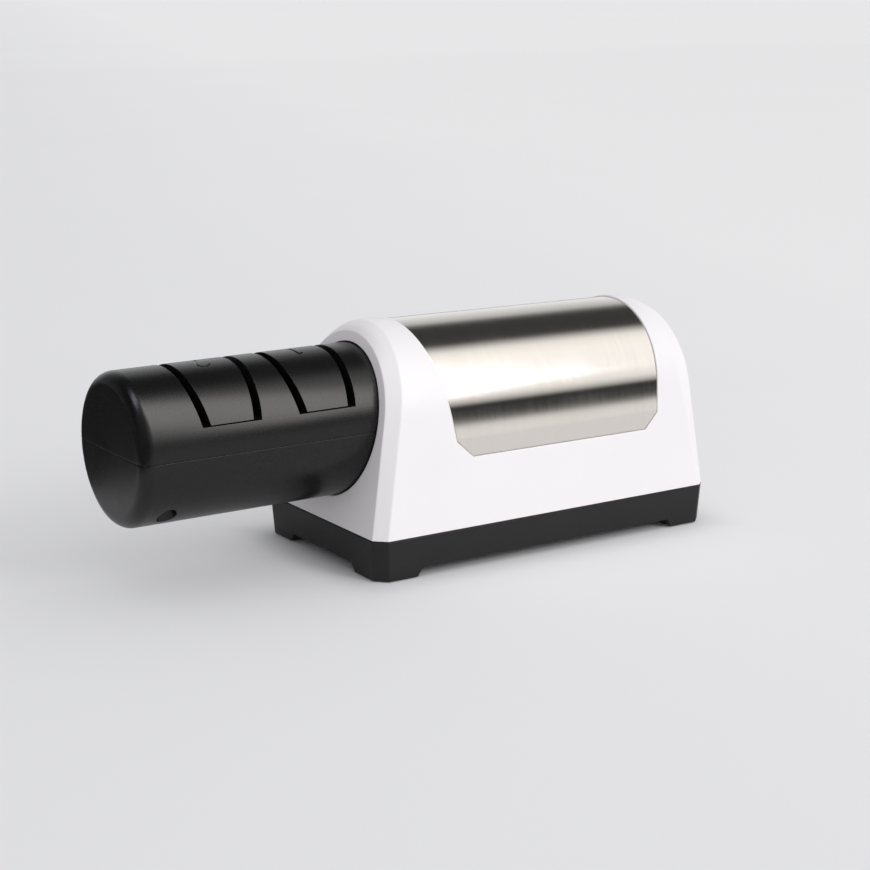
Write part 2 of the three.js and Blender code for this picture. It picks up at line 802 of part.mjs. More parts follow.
function rearBell() {
  let form = bell(rearBellStart, 1);
  for (const side of [-1, 1]) {
    const inner = brushStart + airGap;
    const outer = brushStart + brushLength + brushHolderWall;
    const [y0, y1] = side > 0 ? [inner, outer] : [-outer, -inner];
    const wall = brushHolderWall + seatGap;
    const tall = brushHeight / 2 + wall;
    const holder = block(brushX - wall, rearBellStart + seatGap, y0, y1, -tall, tall);
    const channelEnd = brushStart + brushLength + seatGap;
    const [c0, c1] = side > 0 ? [0, channelEnd] : [-channelEnd, 0];
    const channel = block(
      brushX - seatGap,
      brushX + brushWidth + seatGap,
      c0,
      c1,
      -brushHeight / 2 - seatGap,
      brushHeight / 2 + seatGap,
    );
    form = cut(join(form, holder), channel);
  }
  return cut(form, barX(brushX - cutOverrun, rearBellStart + seatGap, bearingSeatRadius));
}

function magnet(side) {
  const halfSpan = magnetAngle / 2 * degree;
  const middle = side * Math.PI / 2;
  const outline = [
    ...arcPoints(magnetRadius, middle - halfSpan, middle + halfSpan, smallSides),
    ...arcPoints(magnetRadius - magnetThickness, middle + halfSpan, middle - halfSpan, smallSides),
  ];
  return prismX(outline, magnetStart, magnetStart + magnetLength);
}

const ring = (x0, x1, outer, inner, sides) => turnedX([
  [x0, inner], [x0, outer], [x1, outer], [x1, inner], [x0, inner],
], sides);

function turnAboutX(geometrySolid, angle) {
  const geometry = toGeometry(geometrySolid);
  geometry.deleteAttribute('normal');
  geometry.rotateX(angle);
  return toSolid(geometry);
}

function armatureSlots(x0, x1, width, innerRadius, outerRadius) {
  const slots = [];
  for (let i = 0; i < slotCount; i += 1) {
    const slot = block(x0, x1, -width / 2, width / 2, innerRadius, outerRadius);
    slots.push(turnAboutX(slot, i * 2 * Math.PI / slotCount));
  }
  return slots;
}

function armatureCore() {
  const end = armatureStart + armatureLength;
  const body = ring(armatureStart, end, armatureRadius, motorShaftRadius + seatGap);
  const reach = armatureRadius + cutOverrun;
  return cut(body, ...armatureSlots(
    armatureStart - cutOverrun,
    end + cutOverrun,
    armatureSlotWidth,
    armatureHubRadius,
    reach,
  ));
}

function armatureWinding() {
  const end = armatureStart + armatureLength;
  const innerRadius = armatureHubRadius + seatGap;
  const outerRadius = armatureRadius - airGap;
  const bars = armatureSlots(
    armatureStart - windingReach,
    end + windingReach,
    armatureSlotWidth - 2 * seatGap,
    innerRadius,
    outerRadius,
  );
  const front = ring(armatureStart - windingReach, armatureStart - seatGap, outerRadius, innerRadius);
  const rear = ring(end + seatGap, end + windingReach, outerRadius, innerRadius);
  return join(front, rear, ...bars);
}

function coolingFan() {
  const end = fanX + fanWidth;
  let fan = join(
    barX(fanX, end + fanPlate, fanHubRadius),
    barX(end, end + fanPlate, fanRadius, headSides),
  );
  for (let i = 0; i < fanBladeCount; i += 1) {
    const half = fanBladeThickness / 2;
    const blade = block(fanX, end + fanPlate / 2, -half, half, fanHubRadius - half, fanRadius - half);
    fan = join(fan, turnAboutX(blade, i * 2 * Math.PI / fanBladeCount));
  }
  const [from, to] = [fanX - cutOverrun, end + fanPlate + cutOverrun];
  return cut(fan, barX(from, to, motorShaftRadius + seatGap, smallSides));
}

function motorClamp() {
  const inner = motorRadius + seatGap;
  const outer = inner + clampSheet;
  const flangeLow = seatGap - saddleDrop;
  const flangeTop = flangeLow + clampSheet;
  const reach = motorRadius + clampReach;
  const outerAngle = Math.asin(flangeTop / outer);
  const innerAngle = Math.asin(flangeLow / inner);
  const outline = [
    new THREE.Vector2(reach, flangeLow),
    new THREE.Vector2(reach, flangeTop),
    ...arcPoints(outer, outerAngle, Math.PI - outerAngle, archSides),
    new THREE.Vector2(-reach, flangeTop),
    new THREE.Vector2(-reach, flangeLow),
    ...arcPoints(inner, Math.PI - innerAngle, innerAngle, archSides),
  ];
  let clamp = prismX(outline, clampStart, clampStart + clampLength);
  for (const { x, y } of clampScrewPlaces()) {
    clamp = cut(clamp, barZ(x, y, flangeLow - cutOverrun, flangeTop + cutOverrun, screwHoleRadius));
  }
  return clamp;
}

function clampScrewPlaces() {
  const places = [];
  for (const [end, start] of [['front', clampStart], ['rear', clampStart + clampLength - saddleThickness]]) {
    for (const [hand, side] of [['left', -1], ['right', 1]]) {
      places.push({ name: `${end}_${hand}`, x: start + saddleThickness / 2, y: side * clampScrewSide });
    }
  }
  return places;
}

// Coupling halves: a hexagon on the spindle and the hub it plugs into
function motorCoupling() {
  const from = driverStart - motorX;
  const to = driverEnd - motorX;
  return cut(
    barX(from, to, driverRadius),
    barX(from - cutOverrun, driverPocketEnd - motorX, couplingRadius + runGap, hexSides),
    barX(from, to + cutOverrun, motorShaftRadius + seatGap, smallSides),
  );
}

function spindleCoupling() {
  return cut(
    join(
      barX(socketFloorX - seatGap, hexMaleStart, couplingRadius + seatGap, roundSides),
      barX(hexMaleStart, hexMaleEnd, couplingRadius, hexSides),
    ),
    barX(socketFloorX - cutOverrun, hexMaleStart + seatGap, spindleRadius + seatGap, smallSides),
  );
}

// Rocker switch, in a frame whose Z points out of the housing
function switchBody() {
  const pocketX = Math.hypot(rockerHalfLength, rockerEndRise) + seatGap;
  const pocketY = rockerWidth / 2 + runGap;
  const pocketFloor = -rockerPivotDrop - Math.hypot(rockerHalfLength, rockerBelly) * Math.sin(
    Math.atan2(rockerBelly, rockerHalfLength) + rockerTilt * degree,
  ) - seatGap;
  const rim = switchBezelRim;
  const [long, tall] = [switchWidth / 2, switchHeight / 2];
  const body = join(
    block(-long, long, -tall, tall, seatGap, switchBezel + seatGap),
    block(-long + rim, long - rim, -tall + rim, tall - rim, -switchDepth, switchBezel),
  );
  return cut(
    body,
    block(-pocketX, pocketX, -pocketY, pocketY, pocketFloor, switchBezel + cutOverrun),
    barY(
      -pocketY - rockerPinLength - seatGap,
      pocketY + rockerPinLength + seatGap,
      rockerPinRadius + seatGap,
      smallSides,
      0,
      -rockerPivotDrop,
    ),
  );
}

function rockerButton() {
  const outline = [
    [-rockerHalfLength, -rockerBelly / 2],
    [0, -rockerBelly],
    [rockerHalfLength, -rockerBelly / 2],
    [rockerHalfLength, rockerEndRise],
    [0, rockerMiddleRise],
    [-rockerHalfLength, rockerEndRise],
  ].map(([x, z]) => new THREE.Vector2(x, z));
  const half = rockerWidth / 2;
  return join(
    prismY(outline, -half, half),
    barY(-half - rockerPinLength, half + rockerPinLength, rockerPinRadius, smallSides),
  );
}

// Inlet, in a frame whose Z points out of the housing and whose X points down
function inletBody() {
  const rim = inletBezelRim;
  const tall = inletHeight / 2;
  const wide = inletWidth / 2;
  const mouth = inletBezel + seatGap;
  const body = join(
    block(-tall, tall, -wide, wide, seatGap, mouth),
    block(-tall + rim, tall - rim, -wide + rim, wide - rim, -inletDepth, mouth - seatGap),
  );
  const floor = mouth - inletSocketDepth;
  const offset = inletPinSpacing / 2;
  const socket = prismZ([
    ...inPlane(arcPoints(inletSocketRadius, 0, Math.PI, smallSides), 0, offset),
    ...inPlane(arcPoints(inletSocketRadius, Math.PI, 2 * Math.PI, smallSides), 0, -offset),
  ], floor, mouth + cutOverrun);
  const tails = [-offset, offset].map((y) => (
    barZ(0, y, -inletDepth - cutOverrun, floor + seatGap, inletPinRadius + seatGap)
  ));
  return cut(body, socket, ...tails);
}

function inletPin() {
  const tip = inletBezel + seatGap - inletPinShort;
  const tail = -inletDepth - inletPinTail;
  return turnedZ([
    [0, tail],
    [inletPinRadius, tail],
    [inletPinRadius, tip - inletPinRadius],
    [inletPinRadius / 2, tip],
    [0, tip],
  ]);
}

// Circuit board with its soldered rectifier and capacitor
function circuitBoard() {
  const half = boardWidth / 2;
  const top = boardZ + boardThickness;
  const board = block(boardStartX, boardEndX, -half, half, boardZ, top);
  const middleX = (boardStartX + boardEndX) / 2;
  const size = boardPartSize;
  const [low, high] = [top - seatGap, top + boardPartHeight];
  return join(
    board,
    block(middleX, middleX + size, size - half, -size, low, high),
    barZ(middleX - size, half - 2 * size, low, high, size),
  );
}

// A flat twin lead along a smooth route
function twinLead(route) {
  const points = route.map(([x, y, z]) => new THREE.Vector3(x, y, z));
  const outline = [
    ...inPlane(arcPoints(leadRadius, -Math.PI / 2, Math.PI / 2, leadSides), leadRadius, 0),
    ...inPlane(arcPoints(leadRadius, Math.PI / 2, 3 * Math.PI / 2, leadSides), -leadRadius, 0),
  ];
  return toSolid(new THREE.ExtrudeGeometry(new THREE.Shape(outline), {
    steps: leadSteps,
    bevelEnabled: false,
    extrudePath: new THREE.CatmullRomCurve3(points),
  }));
}

const boardTop = boardZ + boardThickness;
const boardMiddleZ = boardZ + boardThickness / 2;

function inletLeadRoute() {
  const startX = inletX - inletDepth - inletPinTail - seatGap;
  const dropX = startX - leadSag;
  return [
    [startX, 0, inletZ],
    [dropX, 0, inletZ - leadSag],
    [dropX, 0, (inletZ + boardTop) / 2],
    [dropX, 0, boardTop + seatGap],
  ];
}

function switchLeadRoute() {
  const behind = (reach) => [
    switchX,
    switchY - (switchDepth + reach) * Math.cos(flankAngle),
    switchZ - (switchDepth + reach) * Math.sin(flankAngle),
  ];
  const lowStartX = switchX + leadSag * 2;
  return [
    behind(seatGap),
    behind(leadSag),
    [lowStartX, leadSide, boardMiddleZ],
    [saddleStarts[1], leadSide, boardMiddleZ],
    [boardStartX - leadSag, leadSide, boardMiddleZ],
    [boardStartX - seatGap, leadSide, boardMiddleZ],
  ];
}

function motorLeadRoute() {
  const bellX = motorX + rearBellStart + bellThickness / 2;
  const bellZ = axisZ - motorRadius;
  return [
    [bellX, 0, bellZ - seatGap],
    [bellX, 0, bellZ - leadSag],
    [bellX + leadSag / 2, 0, boardTop + leadSag],
    [bellX + leadSag / 2, 0, boardTop + seatGap],
  ];
}

// Sharpening head, about its own axis
function headForm(radius, endX, innerX, fillet, steps) {
  const profile = [[endX, 0]];
  for (let i = 0; i <= steps; i += 1) {
    const angle = (i / steps) * Math.PI / 2;
    profile.push([
      endX + headCrown + fillet - fillet * Math.cos(angle),
      radius - fillet + fillet * Math.sin(angle),
    ]);
  }
  profile.push([innerX, radius], [innerX, 0]);
  return turnedX(profile, headSides);
}

const headOutside = () => headForm(headRadius, headEndX, headInnerX, headEndFillet, filletSteps);
const headHollow = () => headForm(
  headRadius - headWall,
  headEndX + headWall,
  headInnerWallX,
  headEndFillet - headWall,
  hollowFilletSteps,
);

// The opening of a stage, or the block between its slots, seen from the side
function stageOutline(stageX, halfFloor, floorZ) {
  const topZ = headRadius + cutOverrun;
  const half = (z) => halfFloor + (z - slotFloorLift) * slope(slotTilt);
  return [
    [stageX - half(floorZ), floorZ],
    [stageX + half(floorZ), floorZ],
    [stageX + half(topZ), topZ],
    [stageX - half(topZ), topZ],
  ].map(([x, z]) => new THREE.Vector2(x, z));
}

const stages = [stageOneX, stageTwoX];
const openingHalf = slotHalfSpacing + slotWidth / 2;
const guideHalf = slotHalfSpacing - slotWidth / 2;
const headPostPlaces = [
  ['outer', headEndX + headPostInset],
  ['inner', headInnerX - headInnerPostInset],
].flatMap(([end, x]) => [['left', -1], ['right', 1]].map(([hand, side]) => (
  { name: `${end}_${hand}`, x, y: side * headPostSide }
)));

function halfSpace(upper) {
  const reach = headRadius + cutOverrun;
  const [z0, z1] = upper ? [seatGap / 2, reach] : [-reach, -seatGap / 2];
  return block(headEndX - cutOverrun, headInnerX + cutOverrun, -reach, reach, z0, z1);
}

// Webs that hold the two bearings, and posts for the screws
function headInsides() {
  const webRadius = headRadius - headWall / 2;
  const innerWebX = innerBearingX + bearingWidth - headWebThickness;
  const webs = [
    barX(headEndX + headWall, outerBearingX + headWebThickness, webRadius, headSides),
    barX(innerWebX, headInnerX, webRadius, headSides),
  ];
  const posts = headPostPlaces.map(({ x, y }) => barZ(x, y, -headRadius, headRadius, headPostRadius));
  return common(join(...webs, ...posts), headOutside());
}

function headCavities() {
  return [
    barX(outerBearingX - seatGap, outerBearingX + headWebThickness + cutOverrun, bearingSeatRadius),
    barX(innerBearingX - cutOverrun, innerBearingX + bearingWidth + seatGap, bearingSeatRadius),
    barX(innerBearingX, headInnerX + cutOverrun, couplingRadius + seatGap + runGap),
  ];
}

function headUpperShell() {
  const reach = headRadius + cutOverrun;
  let hollow = headHollow();
  for (const x of stages) {
    const walls = stageOutline(x, openingHalf + slotWall, slotFloorLift - slotWall);
    hollow = cut(hollow, prismY(walls, -reach, reach));
  }
  let shell = join(cut(headOutside(), hollow), headInsides());
  shell = cut(common(shell, halfSpace(true)), ...headCavities());
  for (const x of stages) {
    const windowHalf = discRadius + discRoom;
    const windowReach = discFace + discRoom;
    shell = cut(
      shell,
      prismY(stageOutline(x, openingHalf, slotFloorLift), -reach, reach),
      block(x - windowReach, x + windowReach, -windowHalf, windowHalf, 0, headRadius),
    );
  }
  for (const { x, y } of headPostPlaces) {
    const pilotTop = headScrewLength - headCounterboreLift + seatGap;
    shell = cut(shell, barZ(x, y, -cutOverrun, pilotTop, screwHoleRadius));
  }
  return shell;
}

function headLowerShell() {
  let shell = join(cut(headOutside(), headHollow()), headInsides());
  shell = cut(common(shell, halfSpace(false)), ...headCavities());
  for (const { x, y } of headPostPlaces) {
    shell = cut(
      shell,
      barZ(x, y, -headRadius - cutOverrun, -headCounterboreLift, screwHeadHoleRadius),
      barZ(x, y, -headRadius, cutOverrun, screwHoleRadius),
    );
  }
  return shell;
}

function guideBlock(x) {
  const reach = headRadius + cutOverrun;
  const form = common(
    prismY(stageOutline(x, guideHalf, slotFloorLift + seatGap), -reach, reach),
    headOutside(),
  );
  const sweep = barX(x - reach, x + reach, discRadius + discTipRoom, headSides);
  return cut(form, sweep);
}

// Spindle: round journals at the ends, hexagons under the discs, a sleeve between the stages
function spindleShaft() {
  const clipSeat = clipThickness + 2 * seatGap;
  const outerClip = stageTwoX - clipStart - clipThickness;
  const innerClip = stageOneX + clipStart;
  const shaft = join(
    barX(outerBearingX, hexMaleStart, spindleRadius, smallSides),
    barX(outerClip - clipShoulder, innerClip + clipThickness + clipShoulder, hexRadius, hexSides),
    barX(stageTwoX + clipStart, stageOneX - clipStart, sleeveRadius),
  );
  const grooves = [outerClip - seatGap, innerClip - seatGap].map((x) => (
    ring(x, x + clipSeat, hexRadius + cutOverrun, spindleRadius, smallSides)
  ));
  return cut(shaft, ...grooves);
}

// A disc whose hub lies inboard of its rim, on one side of the middle of its stage
const discRimOuter = discFace - (discRadius - discFlatRadius) * slope(discCone);
const discRimInner = discRimOuter - discRimThickness;
const discHubInner = springCurls * springWire + springSlack + discTravel;

function disc(stageX, side) {
  const profile = [
    [discHubInner, 0],
    [discHubInner, discHubRadius],
    [discRimInner, discHubRadius],
    [discRimInner, discRadius],
    [discRimOuter, discRadius],
    [discFace, discFlatRadius],
    [discFace, 0],
  ];
  const mirrored = profile.map(([x, radius]) => [-x, radius]).reverse();
  const form = turnedX(side > 0 ? profile : mirrored, discSides);
  const bore = barX(-discFace - cutOverrun, discFace + cutOverrun, discBore, hexSides);
  return cut(form, bore).translate([stageX, 0, 0]);
}

function discSpring(stageX) {
  const half = discHubInner - seatGap - springWire;
  const points = [];
  const steps = springCurls * curlSteps;
  for (let i = 0; i <= steps; i += 1) {
    const angle = i * 2 * Math.PI / curlSteps;
    points.push(new THREE.Vector3(
      stageX + THREE.MathUtils.lerp(-half, half, i / steps),
      springRadius * Math.cos(angle),
      springRadius * Math.sin(angle),
    ));
  }
  const shape = new THREE.Shape(arcPoints(springWire, 0, 2 * Math.PI * (1 - 1 / curlSides), curlSides - 1));
  return toSolid(new THREE.ExtrudeGeometry(shape, {
    steps,
    bevelEnabled: false,
    extrudePath: new THREE.CatmullRomCurve3(points),
  }));
}

function retainingClip(x) {
  const body = ring(x, x + clipThickness, clipRadius, spindleRadius + seatGap);
  const [from, to] = [x - cutOverrun, x + clipThickness + cutOverrun];
  const mouth = block(from, to, -spindleRadius, spindleRadius, -clipRadius - cutOverrun, 0);
  return cut(body, mouth);
}

// Assembly
function piece(name, solid, finish) {
  const mesh = new THREE.Mesh(toGeometry(solid), material(finish));
  mesh.name = name;
  return mesh;
}

function placed(mesh, x, y, z) {
  mesh.position.set(x, y, z);
  return mesh;
}

const sharpener = new THREE.Group();
sharpener.name = 'knife_sharpener';

sharpener.add(
  piece('base_tray', baseTray(), 'blackPlastic'),
  piece('housing_shell', housingShell(), 'whitePlastic'),
  piece('steel_cover', steelCover(), 'brushedSteel'),
  piece('circuit_board', circuitBoard(), 'boardGreen'),
  piece('inlet_leads', twinLead(inletLeadRoute()), 'leadBlack'),
  piece('switch_leads', twinLead(switchLeadRoute()), 'leadBlack'),
  piece('motor_leads', twinLead(motorLeadRoute()), 'leadBlack'),
);

for (const { name, x, y } of footPlaces()) {
  sharpener.add(placed(piece(`foot_pad_${name}`, footPad(), 'rubber'), x, y, 0));
}
for (const { name, x, y } of screwPlaces) {
  const z = legHeight + counterboreDepth - screwHeadHeight - seatGap;
  sharpener.add(placed(piece(`base_screw_${name}`, screw(baseScrewLength), 'zincSteel'), x, y, z));
}

const motor = new THREE.Group();
motor.position.set(motorX, 0, axisZ);
motor.add(
  piece('motor_can', ring(
    canStart, canStart + canLength, motorRadius, motorRadius - canWall, headSides,
  ), 'steel'),
  piece('motor_front_bell', bell(bellThickness, -1), 'steel'),
  piece('motor_rear_bell', rearBell(), 'greyPlastic'),
  piece('motor_magnet_upper', magnet(1), 'ferrite'),
  piece('motor_magnet_lower', magnet(-1), 'ferrite'),
  piece('motor_clamp', motorClamp(), 'zincSteel'),
  piece('armature_core', armatureCore(), 'laminated'),
  piece('armature_winding', armatureWinding(), 'copper'),
  piece('commutator', ring(
    commutatorStart, commutatorStart + commutatorLength, commutatorRadius, motorShaftRadius + seatGap,
  ), 'copper'),
  piece('cooling_fan', coolingFan(), 'greyPlastic'),
  piece('motor_coupling', motorCoupling(), 'blackPlastic'),
  piece('motor_shaft', barX(
    driverPocketEnd - motorX + seatGap, rotorEnd, motorShaftRadius, smallSides,
  ), 'steel'),
);
for (const [hand, side] of [['left', -1], ['right', 1]]) {
  const tall = brushHeight / 2;
  const middle = side * (brushStart + brushLength / 2);
  const [y0, y1] = [middle - brushLength / 2, middle + brushLength / 2];
  const brush = block(brushX, brushX + brushWidth, y0, y1, -tall, tall);
  motor.add(piece(`motor_brush_${hand}`, brush, 'carbon'));
}
for (const [end, x] of [['front', bellThickness - bearingWidth], ['rear', rearBellStart]]) {
  const bearing = ring(x, x + bearingWidth, bearingRadius, motorShaftRadius + seatGap);
  motor.add(piece(`motor_bearing_${end}`, bearing, 'zincSteel'));
}
for (const { name, x, y } of clampScrewPlaces()) {
  const clampScrew = piece(`clamp_screw_${name}`, screw(clampScrewLength), 'zincSteel');
  clampScrew.rotation.x = Math.PI;
  const headTop = seatGap - saddleDrop + clampSheet + seatGap + screwHeadHeight;
  motor.add(placed(clampScrew, x, y, headTop));
}
sharpener.add(motor);

switchFrame.add(piece('switch_body', switchBody(), 'blackPlastic'));
const rocker = piece('rocker_button', rockerButton(), 'satinBlack');
rocker.rotation.y = rockerTilt * degree;
rocker.position.z = -rockerPivotDrop;
switchFrame.add(rocker);
sharpener.add(switchFrame);

inletFrame.add(piece('inlet_body', inletBody(), 'blackPlastic'));
for (const [hand, side] of [['left', -1], ['right', 1]]) {
  inletFrame.add(placed(piece(`inlet_pin_${hand}`, inletPin(), 'brass'), 0, side * inletPinSpacing / 2, 0));
}
sharpener.add(inletFrame);

const head = new THREE.Group();
head.position.z = axisZ;
head.add(
  piece('head_upper_shell', headUpperShell(), 'satinBlack'),
  piece('head_lower_shell', headLowerShell(), 'satinBlack'),
  piece('guide_block_1', guideBlock(stageOneX), 'satinBlack'),
  piece('guide_block_2', guideBlock(stageTwoX), 'satinBlack'),
  piece('spindle_shaft', spindleShaft(), 'steel'),
  piece('spindle_coupling', spindleCoupling(), 'greyPlastic'),
  piece('spindle_bearing_outer', ring(
    outerBearingX, outerBearingX + bearingWidth, bearingRadius, spindleRadius + seatGap,
  ), 'zincSteel'),
  piece('spindle_bearing_inner', ring(
    innerBearingX, innerBearingX + bearingWidth, bearingRadius, spindleRadius + seatGap,
  ), 'zincSteel'),
  piece('retaining_clip_outer', retainingClip(stageTwoX - clipStart - clipThickness), 'zincSteel'),
  piece('retaining_clip_inner', retainingClip(stageOneX + clipStart), 'zincSteel'),
);
for (const [number, x] of [[1, stageOneX], [2, stageTwoX]]) {
  head.add(
    piece(`disc_${number}_inner`, disc(x, 1), 'diamondGrit'),
    piece(`disc_${number}_outer`, disc(x, -1), 'diamondGrit'),
    piece(`disc_spring_${number}`, discSpring(x), 'steel'),
  );
}
for (const { name, x, y } of headPostPlaces) {
  const z = -headCounterboreLift - seatGap - screwHeadHeight;
  head.add(placed(piece(`head_screw_${name}`, screw(headScrewLength), 'zincSteel'), x, y, z));
}
sharpener.add(head);

export default sharpener;
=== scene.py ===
import json
from math import acos, atan2, ceil, cos, hypot, pi, radians, sin, sqrt, tan

import bmesh
import bpy
from mathutils import Matrix, Vector


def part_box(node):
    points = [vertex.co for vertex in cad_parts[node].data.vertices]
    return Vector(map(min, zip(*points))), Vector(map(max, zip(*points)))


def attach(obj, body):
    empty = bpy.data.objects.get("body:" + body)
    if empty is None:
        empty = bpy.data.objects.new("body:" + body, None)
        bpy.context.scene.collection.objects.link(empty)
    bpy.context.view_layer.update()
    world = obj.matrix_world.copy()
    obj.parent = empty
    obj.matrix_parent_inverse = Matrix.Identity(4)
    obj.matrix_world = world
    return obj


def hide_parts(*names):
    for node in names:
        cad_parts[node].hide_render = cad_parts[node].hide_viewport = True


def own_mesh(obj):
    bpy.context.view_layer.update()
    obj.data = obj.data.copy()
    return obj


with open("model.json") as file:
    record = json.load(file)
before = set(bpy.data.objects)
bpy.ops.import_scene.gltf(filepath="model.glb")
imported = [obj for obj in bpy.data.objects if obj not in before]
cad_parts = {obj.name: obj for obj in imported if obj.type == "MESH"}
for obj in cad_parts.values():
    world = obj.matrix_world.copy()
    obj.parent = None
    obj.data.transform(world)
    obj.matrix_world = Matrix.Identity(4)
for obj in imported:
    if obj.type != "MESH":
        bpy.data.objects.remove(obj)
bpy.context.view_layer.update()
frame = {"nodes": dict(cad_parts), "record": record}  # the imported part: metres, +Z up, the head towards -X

scene = bpy.context.scene
mm = 0.001  # every shape below is written in millimetres
bothSides = (-1, 1)


def edited(mesh, change):
    # opens a mesh, changes it and puts it back with every face shaded smooth
    work = bmesh.new()
    work.from_mesh(mesh)
    change(work)
    for face in work.faces:
        face.smooth = True
    work.to_mesh(mesh)
    work.free()
    return mesh


def newObject(name, data):
    obj = bpy.data.objects.new(name, data)
    scene.collection.objects.link(obj)
    return obj


class Skin:
    # points and faces of one mesh, gathered patch by patch
    def __init__(self):
        self.points, self.faces = [], []

    def add(self, points, faces):
        start = len(self.points)
        self.points.extend(points)
        self.faces.extend(tuple(start + i for i in face) for face in faces)

    def grid(self, rows, ring=False):
        width, faces = len(rows[0]), []
        for r in range(len(rows) if ring else len(rows) - 1):
            below, above = r * width, (r + 1) % len(rows) * width
            faces += [(below + c, below + c + 1, above + c + 1, above + c) for c in range(width - 1)]
        self.add([point for row in rows for point in row], faces)

    def face(self, loop):
        self.add(loop, [range(len(loop))])

    def mesh(self, name, place=None, fill=False):
        mesh = bpy.data.meshes.new(name)
        mesh.from_pydata([tuple(c * mm for c in p) for p in self.points], [], self.faces)

        def close(work):
            bmesh.ops.remove_doubles(work, verts=work.verts, dist=2e-7)
            if fill:  # closes the flat ring between two loops of open edges
                openEdges = [e for e in work.edges if e.is_boundary]
                bmesh.ops.triangle_fill(work, use_beauty=True, edges=openEdges)
            bmesh.ops.recalc_face_normals(work, faces=work.faces)
            if place is not None:
                work.transform(place)
        return edited(mesh, close)

    def obj(self, name, place=None, fill=False):
        return newObject(name, self.mesh(name, place, fill))


def at(x, y, z):
    return Matrix.Translation((x * mm, y * mm, z * mm))


def blend(a, b, share):
    return a + (b - a) * share


def slope(degrees):
    return tan(radians(degrees))


def roundedPath(stops, steps=4, ring=False):
    # stops are (point, how far from it its corner starts to turn)
    path, count = [], len(stops)
    for i, (point, reach) in enumerate(stops):
        here = Vector(point)
        if not reach:
            path.append(here)
            continue
        before = Vector(stops[i - 1][0]) - here
        after = Vector(stops[(i + 1) % count][0]) - here
        start = here + before.normalized() * min(reach, before.length * 0.48)
        end = here + after.normalized() * min(reach, after.length * 0.48)
        for k in range(steps + 1):
            t = k / steps
            path.append(start * (1 - t) ** 2 + here * 2 * t * (1 - t) + end * t * t)
    return path + path[:1] if ring else path


def turned(profile, count, steps=4, ring=False):
    # round Z; the profile is (height, radius, rounding)
    path = roundedPath([((z, r, 0), reach) for z, r, reach in profile], steps, ring)
    angles = [2 * pi * i / count for i in range(count)]
    skin = Skin()
    skin.grid([[(p.y * cos(a), p.y * sin(a), p.x) for p in path] for a in angles], ring=True)
    return skin


def rod(start, end, radius, count, startCut=0, endCut=0):
    return turned([(start, 0, 0), (start, radius, startCut), (end, radius, endCut), (end, 0, 0)], count)


alongX = Matrix(((0, 0, 1, 0), (1, 0, 0, 0), (0, 1, 0, 0), (0, 0, 0, 1)))  # Z goes to X


def roundedRectangle(halfX, halfY, corner, z, steps=5):
    points = []
    for turn, (sx, sy) in enumerate(((1, 1), (-1, 1), (-1, -1), (1, -1))):
        for k in range(steps + 1):
            angle = pi / 2 * (turn + k / steps)
            x, y = sx * (halfX - corner), sy * (halfY - corner)
            points.append((x + corner * cos(angle), y + corner * sin(angle), z))
    return points


def nested(halfX, halfY, corner, rings, steps=5):
    # rounded rectangles, each (how much smaller, how much less rounded, height)
    return [roundedRectangle(halfX - inset, halfY - inset, corner - less, z, steps)
            for inset, less, z in rings]


def lofted(rings, around=True):
    skin = Skin()
    skin.grid([ring + ring[:1] for ring in rings] if around else rings)
    skin.face(rings[0])
    skin.face(rings[-1])
    return skin


def prism(outline, y0, y1):
    # an outline in X and Z, drawn out along Y
    return lofted([[(x, y, z) for x, z in outline] for y in (y0, y1)])


def combine(obj, join=(), overlap=(), cut=()):
    # exact joins, overlaps and cuts, in this order; the tools are thrown away
    for operation, tools in (("UNION", join), ("INTERSECT", overlap), ("DIFFERENCE", cut)):
        for tool in tools:
            modifier = obj.modifiers.new(tool.name, "BOOLEAN")
            modifier.operation, modifier.solver, modifier.object = operation, "EXACT", tool
    bpy.context.view_layer.update()
    graph = bpy.context.evaluated_depsgraph_get()
    mesh = bpy.data.meshes.new_from_object(obj.evaluated_get(graph))
    obj.modifiers.clear()
    obj.data = mesh
    for tool in (*join, *overlap, *cut):
        bpy.data.objects.remove(tool)

    def close(work):
        bmesh.ops.remove_doubles(work, verts=work.verts, dist=2e-5)
        bmesh.ops.dissolve_degenerate(work, edges=work.edges, dist=1e-5)
    edited(mesh, close)
    return obj


def evenShading(obj, angle=40):
    if angle:
        obj.data.set_sharp_from_angle(angle=radians(angle))
    obj.modifiers.new("evenShading", "WEIGHTED_NORMAL").keep_sharp = True
    return obj


def softEdges(obj, width, angle=35, segments=2, weighted=False):
    bevel = obj.modifiers.new("softEdges", "BEVEL")
    bevel.width, bevel.segments = width * mm, segments
    bevel.limit_method = "WEIGHT" if weighted else "ANGLE"
    bevel.angle_limit = radians(angle)
    bevel.use_clamp_overlap = False
    return evenShading(obj, None)


def finish(obj, slot, body, *nodes):
    obj.data.materials.clear()
    obj.data.materials.append(finishes[slot])
    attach(obj, body)
    if nodes:
        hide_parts(*nodes)
    return obj


def setSockets(tree, made, inputs):
    # a socket is linked, anything else is a plain value
    for name, value in inputs.items():
        if isinstance(value, bpy.types.NodeSocket):
            tree.links.new(value, made.inputs[name])
        else:
            made.inputs[name].default_value = value


def node(tree, kind, inputs=(), **settings):
    made = tree.nodes.new("ShaderNode" + kind)
    for name, value in settings.items():
        setattr(made, name, value)
    setSockets(tree, made, dict(inputs))
    return made


def maths(tree, operation, first, second):
    return node(tree, "Math", {0: first, 1: second}, operation=operation).outputs[0]


def vectorMaths(tree, operation, inputs, output="Vector"):
    return node(tree, "VectorMath", inputs, operation=operation).outputs[output]


def noise(tree, where, scale, detail, rough=0.5):
    inputs = {"Vector": where, "Scale": scale, "Detail": detail, "Roughness": rough}
    return node(tree, "TexNoise", inputs).outputs["Fac"]


